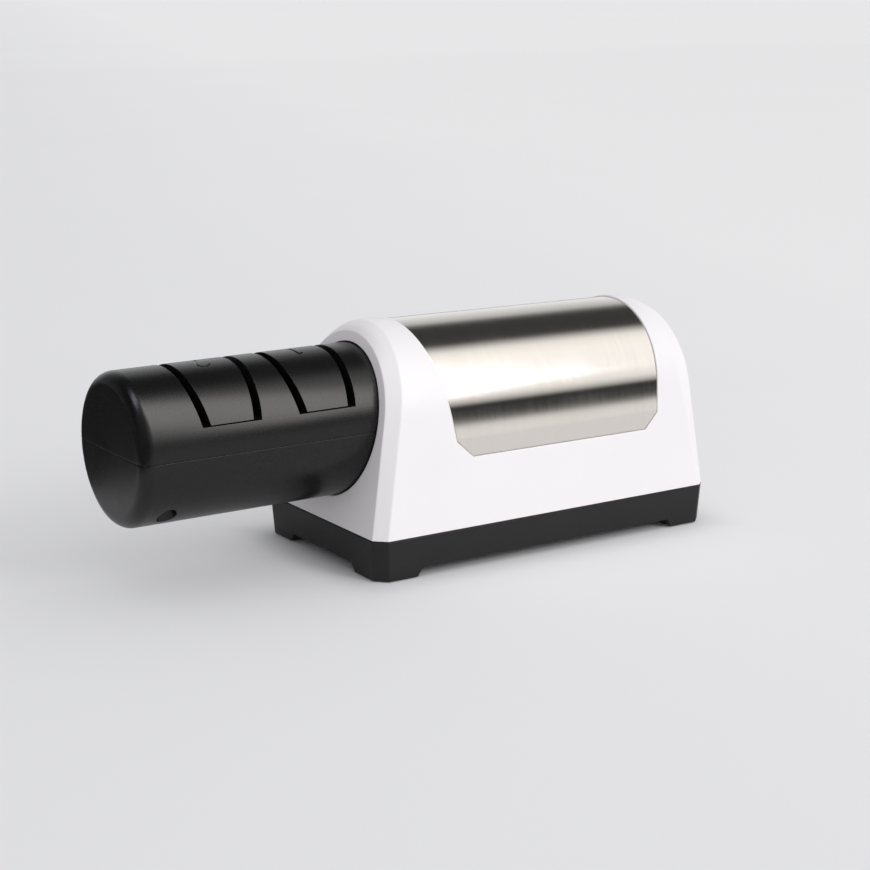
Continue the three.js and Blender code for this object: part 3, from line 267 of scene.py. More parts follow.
def stretched(tree, where, scale):
    return node(tree, "Mapping", {"Vector": where, "Scale": scale}).outputs["Vector"]


def ramp(tree, factor, low, high, toLow, toHigh):
    return node(tree, "MapRange", {
        "Value": factor, "From Min": low, "From Max": high, "To Min": toLow, "To Max": toHigh,
    }).outputs["Result"]


def tinted(tree, factor, dark, light):
    return node(tree, "Mix", {0: factor, 6: (*dark, 1), 7: (*light, 1)}, data_type="RGBA").outputs[2]


def surface(name):
    material = bpy.data.materials.new(name)
    material.use_nodes = True
    tree = material.node_tree
    return material, tree, tree.nodes["Principled BSDF"], node(tree, "TexCoord").outputs["Object"]


def coat(tree, shader, look, tone, grain, drift):
    # tone gives the colour, the grain its bumps and roughness, and the drift is added to the roughness
    uneven = ramp(tree, grain, 0.3, 0.7, *look["rough"])
    bump = {"Height": grain, "Distance": look["depth"] * mm, "Strength": look["strength"]}
    setSockets(tree, shader, {
        "Base Color": tinted(tree, tone, look["dark"], look["color"]),
        "Roughness": maths(tree, "ADD", uneven, drift),
        "Normal": node(tree, "Bump", bump).outputs["Normal"],
    })


def moulded(name, **look):
    # plastic and rubber: fine spark-eroded grain over a slow mottle
    material, tree, shader, where = surface(name)
    tone = ramp(tree, noise(tree, where, 28, 3), 0.35, 0.65, 0, 1)
    grain = noise(tree, where, 1 / look["grain"], 3, 0.6)
    flow = noise(tree, stretched(tree, where, (14, 60, 60)), 1, 2)
    coat(tree, shader, look, tone, grain, ramp(tree, flow, 0.35, 0.65, -0.02, 0.02))
    shader.inputs["Specular IOR Level"].default_value = look.get("specular", 0.5)
    return material


def metal(name, stretch=(1, 1, 1), **look):
    # brushed, turned or plated metal: scratches drawn out along the smaller numbers of stretch
    material, tree, shader, where = surface(name)
    drawn = stretched(tree, where, stretch)
    hair = noise(tree, drawn, look["hair"], 3, 0.65)
    streak = noise(tree, drawn, look["hair"] * 0.17, 2)
    tone = maths(tree, "ADD", ramp(tree, hair, 0.3, 0.7, 0, 0.6), ramp(tree, streak, 0.35, 0.65, 0, 0.4))
    coat(tree, shader, look, tone, hair, ramp(tree, noise(tree, where, 30, 3), 0.3, 0.7, -0.015, 0.02))
    shader.inputs["Metallic"].default_value = 1.0
    if "spreadAlong" in look:  # the gleam is drawn out square to the scratches
        tangent = node(tree, "Tangent", direction_type="RADIAL", axis="X")
        setSockets(tree, shader, {"Anisotropic": look["spreadAlong"], "Anisotropic Rotation": 0.25,
                                  "Tangent": tangent.outputs["Tangent"]})
    return material


# grain is in metres; hair is how many scratches go to a metre; depth is in millimetres
finishes = {
    "white_plastic": moulded("satinWhite", color=(0.93, 0.898, 0.908), dark=(0.915, 0.884, 0.895),
        rough=(0.37, 0.47), grain=0.00035, depth=0.006, strength=0.25, specular=0.25),
    "base_plastic": moulded("matteBlack", color=(0.0095, 0.0093, 0.0095), dark=(0.0078, 0.0077, 0.0079),
        rough=(0.42, 0.58), grain=0.0004, depth=0.02, strength=0.5, specular=0.42),
    "head_plastic": moulded("satinBlack", color=(0.0057, 0.0055, 0.0055), dark=(0.0047, 0.0046, 0.0046),
        rough=(0.24, 0.32), grain=0.00032, depth=0.01, strength=0.35, specular=0.38),
    "cover_steel": metal("brushedSteel", color=(0.825, 0.785, 0.738), dark=(0.79, 0.75, 0.703),
        rough=(0.11, 0.17), stretch=(1, 0.012, 0.012), hair=3400, depth=0.004, strength=0.2,
        spreadAlong=0.96),
    "foot_rubber": moulded("footRubber", color=(0.03, 0.03, 0.03), dark=(0.022, 0.022, 0.022),
        rough=(0.78, 0.92), grain=0.0005, depth=0.03, strength=0.7),
    "plated_steel": metal("zincPlating", color=(0.66, 0.67, 0.68), dark=(0.5, 0.51, 0.53),
        rough=(0.25, 0.39), hair=900, depth=0.003, strength=0.3),
    "motor_steel": metal("plainSteel", color=(0.56, 0.565, 0.57), dark=(0.42, 0.425, 0.43),
        rough=(0.28, 0.44), stretch=(1, 0.03, 0.03), hair=2600, depth=0.004, strength=0.3),
    "laminations": metal("laminatedIron", color=(0.32, 0.32, 0.33), dark=(0.16, 0.16, 0.17),
        rough=(0.4, 0.6), stretch=(1, 0.001, 0.001), hair=900, depth=0.02, strength=0.6),
    "magnet": moulded("darkFerrite", color=(0.062, 0.062, 0.067), dark=(0.045, 0.045, 0.048),
        rough=(0.65, 0.85), grain=0.0006, depth=0.02, strength=0.6),
    "copper": metal("enamelledCopper", color=(0.64, 0.31, 0.165), dark=(0.45, 0.19, 0.09),
        rough=(0.26, 0.42), stretch=(0.02, 1, 1), hair=1500, depth=0.02, strength=0.6),
    "brass_pin": metal("turnedBrass", color=(0.72, 0.575, 0.29), dark=(0.6, 0.46, 0.2),
        rough=(0.21, 0.33), hair=1600, depth=0.003, strength=0.3),
    "carbon": moulded("pressedCarbon", color=(0.042, 0.042, 0.044), dark=(0.03, 0.03, 0.031),
        rough=(0.54, 0.7), grain=0.0003, depth=0.01, strength=0.5),
    "grey_plastic": moulded("greyMoulding", color=(0.31, 0.32, 0.33), dark=(0.28, 0.29, 0.3),
        rough=(0.44, 0.56), grain=0.0004, depth=0.01, strength=0.4),
    "board": moulded("coatedBoard", color=(0.05, 0.205, 0.095), dark=(0.035, 0.15, 0.065),
        rough=(0.32, 0.48), grain=0.0012, depth=0.02, strength=0.4),
    "lead_insulation": moulded("leadCover", color=(0.031, 0.031, 0.033), dark=(0.025, 0.025, 0.027),
        rough=(0.44, 0.56), grain=0.0007, depth=0.01, strength=0.3),
    "disc_grit": metal("fineGrit", color=(0.4, 0.375, 0.33), dark=(0.24, 0.225, 0.2),
        rough=(0.4, 0.7), hair=3600, depth=0.05, strength=1.0),
}
for part in frame["record"]["subparts"]:  # the hidden pieces keep their solids
    data = frame["nodes"][part["node"]].data
    data.materials.clear()
    data.materials.append(finishes[part["material_slot"]])
print("materials ready")

housing = dict(
    frontX=-34.775, rearX=118.725, halfWidth=42.7, chamfer=4.3, topOfBase=15.6, footZ=15.9, wall=3.2,
    archRadius=36.0, archZ=52.6, axisZ=53.0, crestFall=1.8,
    frontRake=12.7, frontEdgeRake=13.5, rearRake=3.15, rearEdgeRake=7.35,
    # the band between an end face and the skin, and where round the arch it starts to swell
    bevelRise=3.4, bandSwell=0.75, swellFrom=1.15, swellOver=0.3, bandTurn=2.2, faceEdge=0.4, archEdge=0.55,
    faceMargin=3, skinMargin=1.4,
    recessDepth=1.6, recessLip=0.25, recessGap=0.18,
    archRows=72, footPoints=14, skirtLevels=(15.9, 20, 25, 30, 35, 39), recessLevels=(42.5, 44.5, 50, 53, 56),
    socketRadius=28.35, socketFloorX=-12.35, socketBackX=-9.95, collarRadius=30.75, holeRadius=9.85, lip=0.5,
    screwX=(-9.025, 92.975), screwY=33.0, postRadius=4.2, postTop=27.9, postBore=1.8,
    webHalf=1.2, webZ=(16.4, 26), webY=(36.8, 39),
)
cover = dict(
    startX=2.3, length=94.75, lowZ=41.4, cornerLength=6.5, cornerHeight=6.2, frontFlare=8.0, rearFlare=7.0,
    sunk=0.5, sheet=0.8, edge=0.18, levels=(42.2, 43.4, 44.6, 45.8), archRows=96,
    bulge=0.38, bulgePeak=10.0, bulgeEnd=26.0,  # how far the sheet's flanks swell, and where
)
h = housing


def flankAngleOf(radius, footHalf):
    drop = h["archZ"] - h["topOfBase"]
    return acos(radius / hypot(footHalf, drop)) - atan2(drop, footHalf)


flankAngle = flankAngleOf(h["archRadius"], h["halfWidth"])
faceAngle = flankAngleOf(h["archRadius"] - h["bevelRise"], h["halfWidth"] - h["chamfer"])
flankTopZ = h["archZ"] + h["archRadius"] * sin(flankAngle)


def section(t, radius, angle):
    # t runs 0 to 1 up the +Y flank, on to 2 over the arch and to 3 down the -Y flank
    if t > 2:
        y, z = section(3 - t, radius, angle)
        return -y, z
    if t >= 1:
        a = blend(angle, pi - angle, t - 1)
        return radius * cos(a), h["archZ"] + radius * sin(a)
    topY, topZ = radius * cos(angle), h["archZ"] + radius * sin(angle)
    footY = topY + (topZ - h["footZ"]) * tan(angle)
    return blend(footY, topY, t), blend(h["footZ"], topZ, t)


def lean(z, rake): return (z - h["topOfBase"]) * slope(h[rake])
def frontFaceX(z): return h["frontX"] + lean(z, "frontRake")
def frontEdgeX(z): return h["frontX"] + h["chamfer"] + lean(z, "frontEdgeRake")
def rearFaceX(z): return h["rearX"] - lean(z, "rearRake")
def rearEdgeX(z): return h["rearX"] - h["chamfer"] - lean(z, "rearEdgeRake")
def frontInsideX(z): return frontFaceX(z) + h["wall"]
def valueAt(x, z): return x(z) if callable(x) else x


crestZ = h["archZ"] + h["archRadius"]
crestFrontX = frontEdgeX(crestZ)
crestLength = rearEdgeX(crestZ) - crestFrontX


def settledPoint(t, radius, angle, place):
    # the housing sinks a little towards the rear, most at its crest
    y, z = section(t, radius, angle)
    fall = h["crestFall"] * (valueAt(place, z) - crestFrontX) / crestLength
    z -= fall * (z - h["footZ"]) / (crestZ - h["footZ"])
    return Vector((valueAt(place, z), y, z))


def coverEnds(z, grow):
    # front and rear edge of the cover at height z, or of what lies grow outside it
    lowZ = cover["lowZ"] - grow
    cornerZ = lowZ + cover["cornerHeight"]
    level = max(z, cornerZ) - h["axisZ"]
    front = cover["startX"] - grow - level * slope(cover["frontFlare"])
    rear = cover["startX"] + cover["length"] + grow + level * slope(cover["rearFlare"])
    inset = cover["cornerLength"] * min(1, max(0, (cornerZ - z) / cover["cornerHeight"]))
    return front + inset, rear - inset


def flankShare(z):
    return (z - h["footZ"]) / (flankTopZ - h["footZ"])


def overArch(levels, count, deep):
    # rows up one flank, over the arch and down the other, each with how deep it lies
    rows = [(flankShare(z), depth) for z, depth in levels]
    arch = [(1 + k / count, deep) for k in range(count + 1)]
    return rows + arch + [(3 - t, depth) for t, depth in reversed(rows)]


def bevelPath(t, faceX, edgeX, stripX):
    # from the end face to the skin: a flat band down the flanks, a little full at the crest
    share = min(1, max(0, (min(t, 3 - t) - h["swellFrom"]) / h["swellOver"]))
    swell = h["bandSwell"] * share * share * (3 - 2 * share)
    faceRadius = h["archRadius"] - h["bevelRise"]
    within = settledPoint(t, faceRadius - h["faceMargin"], faceAngle, faceX)
    face = settledPoint(t, faceRadius, faceAngle, faceX)
    edge, beyond = (settledPoint(t, h["archRadius"], flankAngle, x) for x in (edgeX, stripX))
    middle = (face + edge) / 2
    middle += (Vector((face.x, edge.y, edge.z)) - middle).normalized() * swell
    return roundedPath([
        (within, 0), (face, h["faceEdge"]), (middle, h["bandTurn"]), (edge, h["archEdge"]), (beyond, 0)])[:-1]


def endLoop(rows, end):
    # the points at one end of the rows, closed along the foot
    count, first, last = h["footPoints"], rows[0][end], rows[-1][end]
    return [row[end] for row in rows] + [
        (first.x, blend(last.y, first.y, k / count), h["footZ"]) for k in range(1, count)]


def socketPath(near, far):
    # from the front face into the socket, over its floor and through the hole, back round its collar
    angle = atan2(near.z - h["axisZ"], near.y)

    def circle(radius, x):
        z = h["axisZ"] + h[radius] * sin(angle)
        return Vector((valueAt(x, z), h[radius] * cos(angle), z))
    rim = circle("socketRadius", frontFaceX)
    floorX, backX = h["socketFloorX"], h["socketBackX"]
    return roundedPath([
        (near, 0), (blend(near, rim, 0.5), 0), (rim, h["lip"]), (circle("socketRadius", floorX), 0.4),
        (circle("holeRadius", floorX), h["lip"]), (circle("holeRadius", backX), 0.3),
        (circle("collarRadius", backX), 0.3), (circle("collarRadius", frontInsideX), 0), (far, 0),
    ])


def housingShell():
    lip, gap, deep, margin = h["recessLip"], h["recessGap"], h["recessDepth"], h["skinMargin"]
    lips = [(-lip, 0), (-lip / 2, lip * 0.13), (-lip * 0.13, lip / 2), (0, lip), (0.002, deep)]
    lowZ = cover["lowZ"] - gap
    levels = [(z, 0) for z in h["skirtLevels"]] + [(lowZ + dz, depth) for dz, depth in lips]
    levels += [(z, deep) for z in sorted((*h["recessLevels"], lowZ + cover["cornerHeight"]))]
    rows = overArch(levels, h["archRows"], deep)
    skin, outer = Skin(), []
    for t, rowDepth in rows:
        z = section(t, h["archRadius"], flankAngle)[1]
        front, rear = coverEnds(z, gap)
        stops = [(blend(frontEdgeX(z) + margin, front - lip, k / 3), 0) for k in range(3)]
        stops += [(front + dx, depth) for dx, depth in lips]
        stops += [(blend(front, rear, k / 8), deep) for k in range(1, 8)]
        stops += [(rear - dx, depth) for dx, depth in reversed(lips)]
        stops += [(blend(rear + lip, rearEdgeX(z) - margin, k / 3), 0) for k in range(1, 4)]
        middle = [settledPoint(t, h["archRadius"] - min(depth, rowDepth), flankAngle, x)
                  for x, depth in stops]
        end = bevelPath(t, rearFaceX, rearEdgeX, rear)[::-1]
        outer.append(bevelPath(t, frontFaceX, frontEdgeX, front) + middle + end)
    mitre = h["wall"] * slope(22.5)
    faceRadius, skinRadius = h["archRadius"] - h["bevelRise"] - mitre, h["archRadius"] - h["wall"]
    inner = []
    for t, rowDepth in rows:
        front = settledPoint(t, faceRadius, faceAngle, frontInsideX)
        rear = settledPoint(t, faceRadius, faceAngle, lambda z: rearFaceX(z) - h["wall"])
        first = settledPoint(t, skinRadius, flankAngle, lambda z: frontEdgeX(z) + mitre)
        last = settledPoint(t, skinRadius, flankAngle, lambda z: rearEdgeX(z) - mitre)
        inner.append([front, *(blend(first, last, k / 5) for k in range(6)), rear])
    for patch in (outer, inner):
        skin.grid(patch)
        skin.face(endLoop(patch, -1))
    pairs = zip(endLoop(outer, 0), endLoop(inner, 0))
    skin.grid([socketPath(Vector(near), Vector(far)) for near, far in pairs], ring=True)
    return skin.obj("housingShell", fill=True)


switch = dict(
    x=46.076, lift=12.4, sink=1.6, halfX=10.5, halfY=7.3, rim=1.4, gap=0.3, bezel=1.6, depth=14, corner=1.2,
    rockerLong=7.9, rockerHalfWidth=4.8, endRise=2.2, middleRise=1.4, sag=0.35, belly=3, pivotDrop=0.6,
    tilt=8, pinRadius=0.9, pinReach=0.8, endGap=0.3, sideGap=0.35,
)
inlet = dict(
    lift=14.4, sink=1.6, halfX=6.5, halfY=12, rim=1.6, gap=0.3, bezel=1.6, depth=16, corner=1.5,
    socketDepth=12, socketRadius=4.4, pinSpacing=8.6, pinRadius=1.2, pinShort=2.5, pinTail=3, tailHole=1.5,
)
s, n = switch, inlet
switchPlace = at(
    s["x"],
    h["halfWidth"] - s["lift"] * tan(flankAngle) - s["sink"] * cos(flankAngle),
    h["topOfBase"] + s["lift"] - s["sink"] * sin(flankAngle),
) @ Matrix.Rotation(flankAngle - pi / 2, 4, "X")
inletZ = h["topOfBase"] + n["lift"]
inletTurn = Matrix.Rotation(radians(90 - h["rearRake"]), 4, "Y")
inletPlace = at(rearFaceX(inletZ) - n["sink"], 0, inletZ) @ inletTurn


def steppedCutter(name, place, size, lip=0.3):
    rim, gap, sink = size["rim"], size["gap"], size["sink"]
    return lofted(nested(size["halfX"] + gap, size["halfY"] + gap, size["corner"], [
        (rim, 0, -8), (rim, 0, 0), (0, 0, 0), (0, 0, sink - lip), (-lip, -lip, sink),
        (-lip * 5, -lip * 5, sink + 3),
    ])).obj(name, place)


holes = [steppedCutter("switchHole", switchPlace, switch), steppedCutter("inletHole", inletPlace, inlet)]
shell = evenShading(combine(housingShell(), cut=holes))
finish(shell, "white_plastic", "housing", "housing_shell")


def housingPosts():
    # the screw posts inside, each with its web to the wall
    posts, bore, radius, top = Skin(), h["postBore"], h["postRadius"], h["postTop"]
    thin, (low, high) = h["webHalf"], h["webZ"]
    for x in h["screwX"]:
        for side in bothSides:
            tube = turned([
                (h["footZ"], bore, 0), (h["footZ"], radius, 0.3), (top, radius, 0.4),
                (top, 0, 0), (top - 1.2, 0, 0), (top - 1.2, bore, 0),
            ], 32, ring=True)
            posts.add([(px + x, py + side * h["screwY"], pz) for px, py, pz in tube.points], tube.faces)
            web = lofted([[(x + dx, side * y, z) for dx, z in (
                (-thin, low), (thin, low), (thin, high), (-thin, high))] for y in h["webY"]])
            posts.add(web.points, web.faces)
    return posts.obj("housingPosts")


finish(evenShading(housingPosts()), "white_plastic", "housing")
print("housing built")


def steelCover():
    radius, edge, lowZ = h["archRadius"] - cover["sunk"], cover["edge"], cover["lowZ"]
    turn = [(0, edge), (edge * 0.3, edge * 0.3), (edge, 0)]  # its rounded rim
    levels = [(lowZ + up, inset) for up, inset in turn]
    levels += [(z, 0) for z in (*cover["levels"], lowZ + cover["cornerHeight"])]
    levels += [(48.3 + k, 0) for k in range(11) if flankShare(48.3 + k) < 1]
    flankLength = (flankTopZ - lowZ) / cos(flankAngle)

    def bulge(t):
        t = min(t, 3 - t)
        if t < 1:
            along = (section(t, radius, flankAngle)[1] - lowZ) / cos(flankAngle)
        else:
            along = flankLength + (t - 1) * (pi - 2 * flankAngle) * radius
        if along < cover["bulgePeak"]:
            return cover["bulge"] * sin(pi / 2 * max(0, along) / cover["bulgePeak"])
        share = min(1, (along - cover["bulgePeak"]) / (cover["bulgeEnd"] - cover["bulgePeak"]))
        return cover["bulge"] * (1 + cos(pi * share)) / 2
    loops = []
    for t, inset in overArch(levels, cover["archRows"], 0):
        front, rear = coverEnds(section(t, h["archRadius"], flankAngle)[1], 0)
        stops = [(front + dx, drop) for dx, drop in turn]
        stops += [(blend(front + edge, rear - edge, k / 10), 0) for k in range(1, 10)]
        stops += [(rear - dx, drop) for dx, drop in reversed(turn)]
        loop = [settledPoint(t, radius + bulge(t) - max(drop, inset), flankAngle, x) for x, drop in stops]
        loop += [settledPoint(t, radius - cover["sheet"] + max(drop, inset), flankAngle, x)
                 for x, drop in reversed(stops)]
        loops.append(loop)
    return lofted(loops).obj("steelCover")


finish(evenShading(steelCover()), "cover_steel", "housing", "steel_cover")
print("steel cover built")

base = dict(edge=0.45, legEdge=0.3, outsideBand=1.6, undersideZ=3.7)
foot = dict(radius=5.5, thickness=2.0, chamfer=0.35, grooveDepth=0.25, grooveRadii=(2.1, 2.3, 3.1, 3.3))


def baseTray():
    def flatten(work):
        bmesh.ops.remove_doubles(work, verts=work.verts, dist=2e-6)
        bmesh.ops.dissolve_limit(work, angle_limit=radians(0.6), verts=work.verts, edges=work.edges)

    def weigh(work):
        # only the edges on the outside and on the legs are rounded
        weight = work.edges.layers.float.new("bevel_weight_edge")
        front, rear, side = h["frontX"] * mm, h["rearX"] * mm, h["halfWidth"] * mm
        band, corner = base["outsideBand"] * mm, -h["chamfer"] * mm
        for edge in work.edges:
            ends = [v.co for v in edge.verts]
            outside = all(
                abs(p.y) > side - band or p.x < front + band or p.x > rear - band
                or abs(p.y) - side + p.x - rear > corner - band
                or abs(p.y) - side + front - p.x > corner - band for p in ends)
            under = all(p.z < base["undersideZ"] * mm for p in ends)
            if len(edge.link_faces) == 2 and edge.calc_face_angle(0) > radians(20) and (outside or under):
                edge[weight] = 1 if outside else base["legEdge"] / base["edge"]
    mesh = edited(frame["nodes"]["base_tray"].data.copy(), flatten)
    return softEdges(newObject("baseTray", edited(mesh, weigh)), base["edge"], segments=3, weighted=True)


def footPad(objName, name):
    low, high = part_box(name)
    middle = (low + high) / 2 / mm
    radius, thickness, deep = foot["radius"], foot["thickness"], foot["grooveDepth"]
    rimIn, floorIn, floorOut, rimOut = foot["grooveRadii"]
    return turned([
        (0, 0, 0), (0, rimIn, 0.15), (deep, floorIn, 0.1), (deep, floorOut, 0.1), (0, rimOut, 0.15),
        (0, radius - foot["chamfer"], 0.3), (foot["chamfer"], radius, 0.2), (thickness, radius, 0.2),
        (thickness, 0, 0),
    ], 64, steps=3).obj(objName, at(middle.x, middle.y, low.z / mm))


finish(baseTray(), "base_plastic", "housing", "base_tray")
for end in ("front", "rear"):
    for hand in ("left", "right"):
        name = f"foot_pad_{end}_{hand}"
        finish(evenShading(footPad(f"footPad.{end}.{hand}", name)), "foot_rubber", "housing", name)
print("base built")

screwShape = dict(head=2.7, headHeight=1.9, shank=1.5, root=1.15, pitch=1.25, tip=1.4,
                  crossWide=0.85, crossLong=3.3, crossDepth=1.2)


def screwMesh(length):
    c = screwShape
    top, end = c["headHeight"], c["headHeight"] + length
    profile = [(0, 0, 0), (0, c["head"] - 0.5, 0.3), (0.4, c["head"], 0.25), (top, c["head"], 0.1),
               (top, c["shank"], 0.1)]
    z = top + 0.6
    while z < end - 2.2:  # the thread, as close rings
        profile += [(z, c["root"], 0), (z + c["pitch"] / 2, c["shank"], 0.05)]
        z += c["pitch"]
    profile += [(end - c["tip"], c["root"], 0.1), (end, 0, 0)]
    rings = ((0.1, 0.08, -0.5), (-0.1, 0, 0.3), (-0.9, -0.12, c["crossDepth"]))
    cross = lofted([roundedRectangle(c["crossLong"] / 2 + longer, c["crossWide"] / 2 + wider, 0.15, z)
                    for longer, wider, z in rings])
    screw = combine(turned(profile, 40, steps=2).obj("screw"), cut=[
        cross.obj("cross", Matrix.Rotation(angle, 4, "Z")) for angle in (0, pi / 2)])
    mesh = screw.data
    bpy.data.objects.remove(screw)
    return mesh


screwSets = [
    ("base_screw", ("front", "rear"), "housing", 15, False),
    ("clamp_screw", ("front", "rear"), "housing", 10, True),
    ("head_screw", ("outer", "inner"), "head", 18, False),
]
for kind, ends, body, length, turnedOver in screwSets:
    pattern = screwMesh(length)
    for end in ends:
        for hand in ("left", "right"):
            name = f"{kind}_{end}_{hand}"
            low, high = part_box(name)
            tilt = Matrix.Rotation(pi if turnedOver else 0, 4, "X")
            twist = Matrix.Rotation(0.35 * (len(end) + 2 * len(hand)), 4, "Z")
            place = ((low.x + high.x) / 2, (low.y + high.y) / 2, high.z if turnedOver else low.z)
            mesh = pattern.copy()
            mesh.transform(Matrix.Translation(place) @ tilt @ twist)
            obj = newObject(f"{kind}.{end}.{hand}".replace("_", ""), mesh)
            finish(evenShading(obj), "plated_steel", body, name)
print("screws built")


def bezelRings(size, ease=0, steps=5):
    # the body behind the wall, its shoulder and its rounded rim
    rim, gap, top = size["rim"], size["gap"], size["bezel"] + size["gap"]
    return nested(size["halfX"], size["halfY"], size["corner"], [
        (rim, 0, -size["depth"]), (rim, 0, gap), (0, 0, gap), (0, 0, top - 0.5),
        (0.15, ease, top - 0.15), (0.5, 2 * ease, top),
    ], steps)


def switchBody():
    long, belly, top = s["rockerLong"], s["belly"], s["bezel"] + s["gap"]
    sweep = hypot(long, belly) * sin(atan2(belly, long) + radians(s["tilt"]))
    floor = -s["pivotDrop"] - sweep - 0.3
    pocket = nested(hypot(long, s["endRise"]) + s["endGap"], s["rockerHalfWidth"] + s["sideGap"], 0.4, [
        (-0.35, -0.3, top), (-0.1, -0.1, top - 0.12), (0, 0, top - 0.4), (0, 0, floor)])
    return lofted(bezelRings(s, 0.1) + pocket).obj("switchBody", switchPlace)


rockerPlace = switchPlace @ at(0, 0, -s["pivotDrop"]) @ Matrix.Rotation(radians(s["tilt"]), 4, "Y")


def rockerTop(x):
    share = abs(x) / s["rockerLong"]
    return blend(s["middleRise"], s["endRise"], share) - s["sag"] * 4 * share * (1 - share) * 0.5


def rockerButton():
    long, belly, half = s["rockerLong"], s["belly"], s["rockerHalfWidth"]
    top = [(x, rockerTop(x)) for x in [long * (1 - k / 12) for k in range(25)]]
    under = [(-long, -belly / 2), (-long / 2, -belly * 0.86), (0, -belly), (long / 2, -belly * 0.86),
             (long, -belly / 2)]
    obj = prism(top + under, -half, half).obj("rockerButton", rockerPlace)
    end = half + s["pinReach"]
    pin = rod(-end, end, s["pinRadius"], 24, 0.1, 0.1)
    combine(obj, join=[pin.obj("rockerPin", rockerPlace @ Matrix.Rotation(pi / 2, 4, "X"))])
    return softEdges(obj, 0.35, angle=40, segments=3)


mark = dict(x=4.7, size=1.6, barHalf=0.35, hollow=1.05, lift=0.02, sunk=0.2)


def rockerMarks():
    # a bar on one end and a ring on the other
    marks = Skin()

    def onTop(x, y, lift=mark["lift"]): return (x, y, rockerTop(x) + lift)
    def below(x, y): return onTop(x, y, -mark["sunk"])
    bar = [(mark["x"] + x, y) for x, y, z in roundedRectangle(mark["barHalf"], mark["size"], 0.3, 0)]
    face = [onTop(x, y) for x, y in bar]
    marks.face(face)
    marks.grid([face + face[:1], [below(x, y) for x, y in bar + bar[:1]]])
    rows = []
    for k in range(40):
        a = 2 * pi * k / 40
        inner, outer = ((-mark["x"] + r * cos(a), r * sin(a)) for r in (mark["hollow"], mark["size"]))
        rows.append([below(*inner), onTop(*inner), onTop(*outer), below(*outer)])
    marks.grid(rows, ring=True)
    return marks.obj("rockerMarks", rockerPlace)


finish(evenShading(switchBody()), "base_plastic", "housing", "switch_body")
finish(rockerButton(), "head_plastic", "rocker", "rocker_button")
finish(rockerMarks(), "white_plastic", "rocker")
print("switch built")


def inletBody():
    top, radius, offset = n["bezel"] + n["gap"], n["socketRadius"], n["pinSpacing"] / 2
    floor = top - n["socketDepth"]
    throat = nested(radius, offset + radius, radius - 0.001, [
        (-0.5, -0.5, top), (-0.15, -0.15, top - 0.15), (0, 0, top - 0.5), (0, 0, floor)], 10)
    hole = rod(-20, floor + 1, n["tailHole"], 32)
    return combine(lofted(bezelRings(n, steps=10) + throat).obj("inletBody", inletPlace), cut=[
        hole.obj("tailHole", inletPlace @ at(0, side * offset, 0)) for side in bothSides])


finish(evenShading(inletBody()), "base_plastic", "housing", "inlet_body")
pinTip = n["bezel"] + n["gap"] - n["pinShort"]
inletPin = rod(-n["depth"] - n["pinTail"], pinTip, n["pinRadius"], 40, 0.2, 0.9)
for hand, side in zip(("left", "right"), bothSides):
    pin = inletPin.obj(f"inletPin.{hand}", inletPlace @ at(0, side * n["pinSpacing"] / 2, 0))
    finish(evenShading(pin), "brass_pin", "housing", f"inlet_pin_{hand}")
print("inlet built")

head = dict(
    endX=-118.725, innerX=-12.65, radius=28.0, fillet=5.0, crown=0.2, wall=2.4, seam=0.05, sides=160,
    boreRadius=6.15, bearingRadius=8.3, bearingX=(-15.05, -113.825), webX=(-21.55, -107.325),
    stages=(-44.95, -83.025), floor=10.3, openingHalf=11.4, guideHalf=8.3, tilt=9.0, slotWall=2.0,
    wellRadius=27.3, windowHalf=18.1, windowReach=10.4, windowZ=(4, 20), sweepRadius=17.8,
    postX=(-105.575, -20.65), postY=17.4, postRadius=4.1, postEnd=27.2, pilot=1.8,
    counterbore=3.6, counterboreTop=-8.0, edge=0.18, blockEdge=0.15,
)
headPlace = at(0, 0, h["axisZ"])


def halfShell(name, side):
    # the closed section turned half round, from parting plane to parting plane
    r, x0, x1, fillet, crown = (head[key] for key in ("radius", "endX", "innerX", "fillet", "crown"))
    bore, seat, room = head["boreRadius"], head["bearingRadius"], r - head["wall"]
    (inSeat, outSeat), (inWeb, outWeb) = head["bearingX"], head["webX"]
    stops = [(x0, 0, 0)]
    stops += [(x0 + crown * share ** 2, (r - fillet) * share, 0) for share in (0.25, 0.5, 0.75, 1)]
    for a in [pi / 2 * k / 12 for k in range(1, 13)]:
        stops.append((x0 + crown + fillet * (1 - cos(a)), r - fillet * (1 - sin(a)), 0))
    stops += [
        (x1, r, 0.6), (x1, bore, 0.4), (inSeat, bore, 0), (inSeat, seat, 0), (inWeb, seat, 0),
        (inWeb, room, 0.5), (outWeb, room, 0.5), (outWeb, seat, 0), (outSeat, seat, 0), (outSeat, 0, 0),
    ]
    path = roundedPath([((x, radius, 0), turn) for x, radius, turn in stops], 3)
    seam, half = head["seam"], head["sides"] // 2

    def swept(p, share):
        if p.y <= seam:
            return (p.x, 0, side * seam)
        start = atan2(seam, sqrt(p.y ** 2 - seam ** 2))
        a = blend(start, pi - start, share)
        return (p.x, p.y * cos(a), side * p.y * sin(a))
    rows = [[swept(p, i / half) for p in path] for i in range(half + 1)]
    return lofted(rows, around=False).obj(name, headPlace)


def stageOutline(x, halfFloor, floorZ, topZ=32.0):
    low, high = (halfFloor + (z - head["floor"]) * slope(head["tilt"]) for z in (floorZ, topZ))
    return [(x - low, floorZ), (x + low, floorZ), (x + high, topZ), (x - high, topZ)]


def bar(name, x0, x1, radius, count):
    return rod(x0, x1, radius, count).obj(name, headPlace @ alongX)


def upright(name, x, y, z0, z1, radius, count=48):
    return rod(z0, z1, radius, count).obj(name, headPlace @ at(x, y, 0))


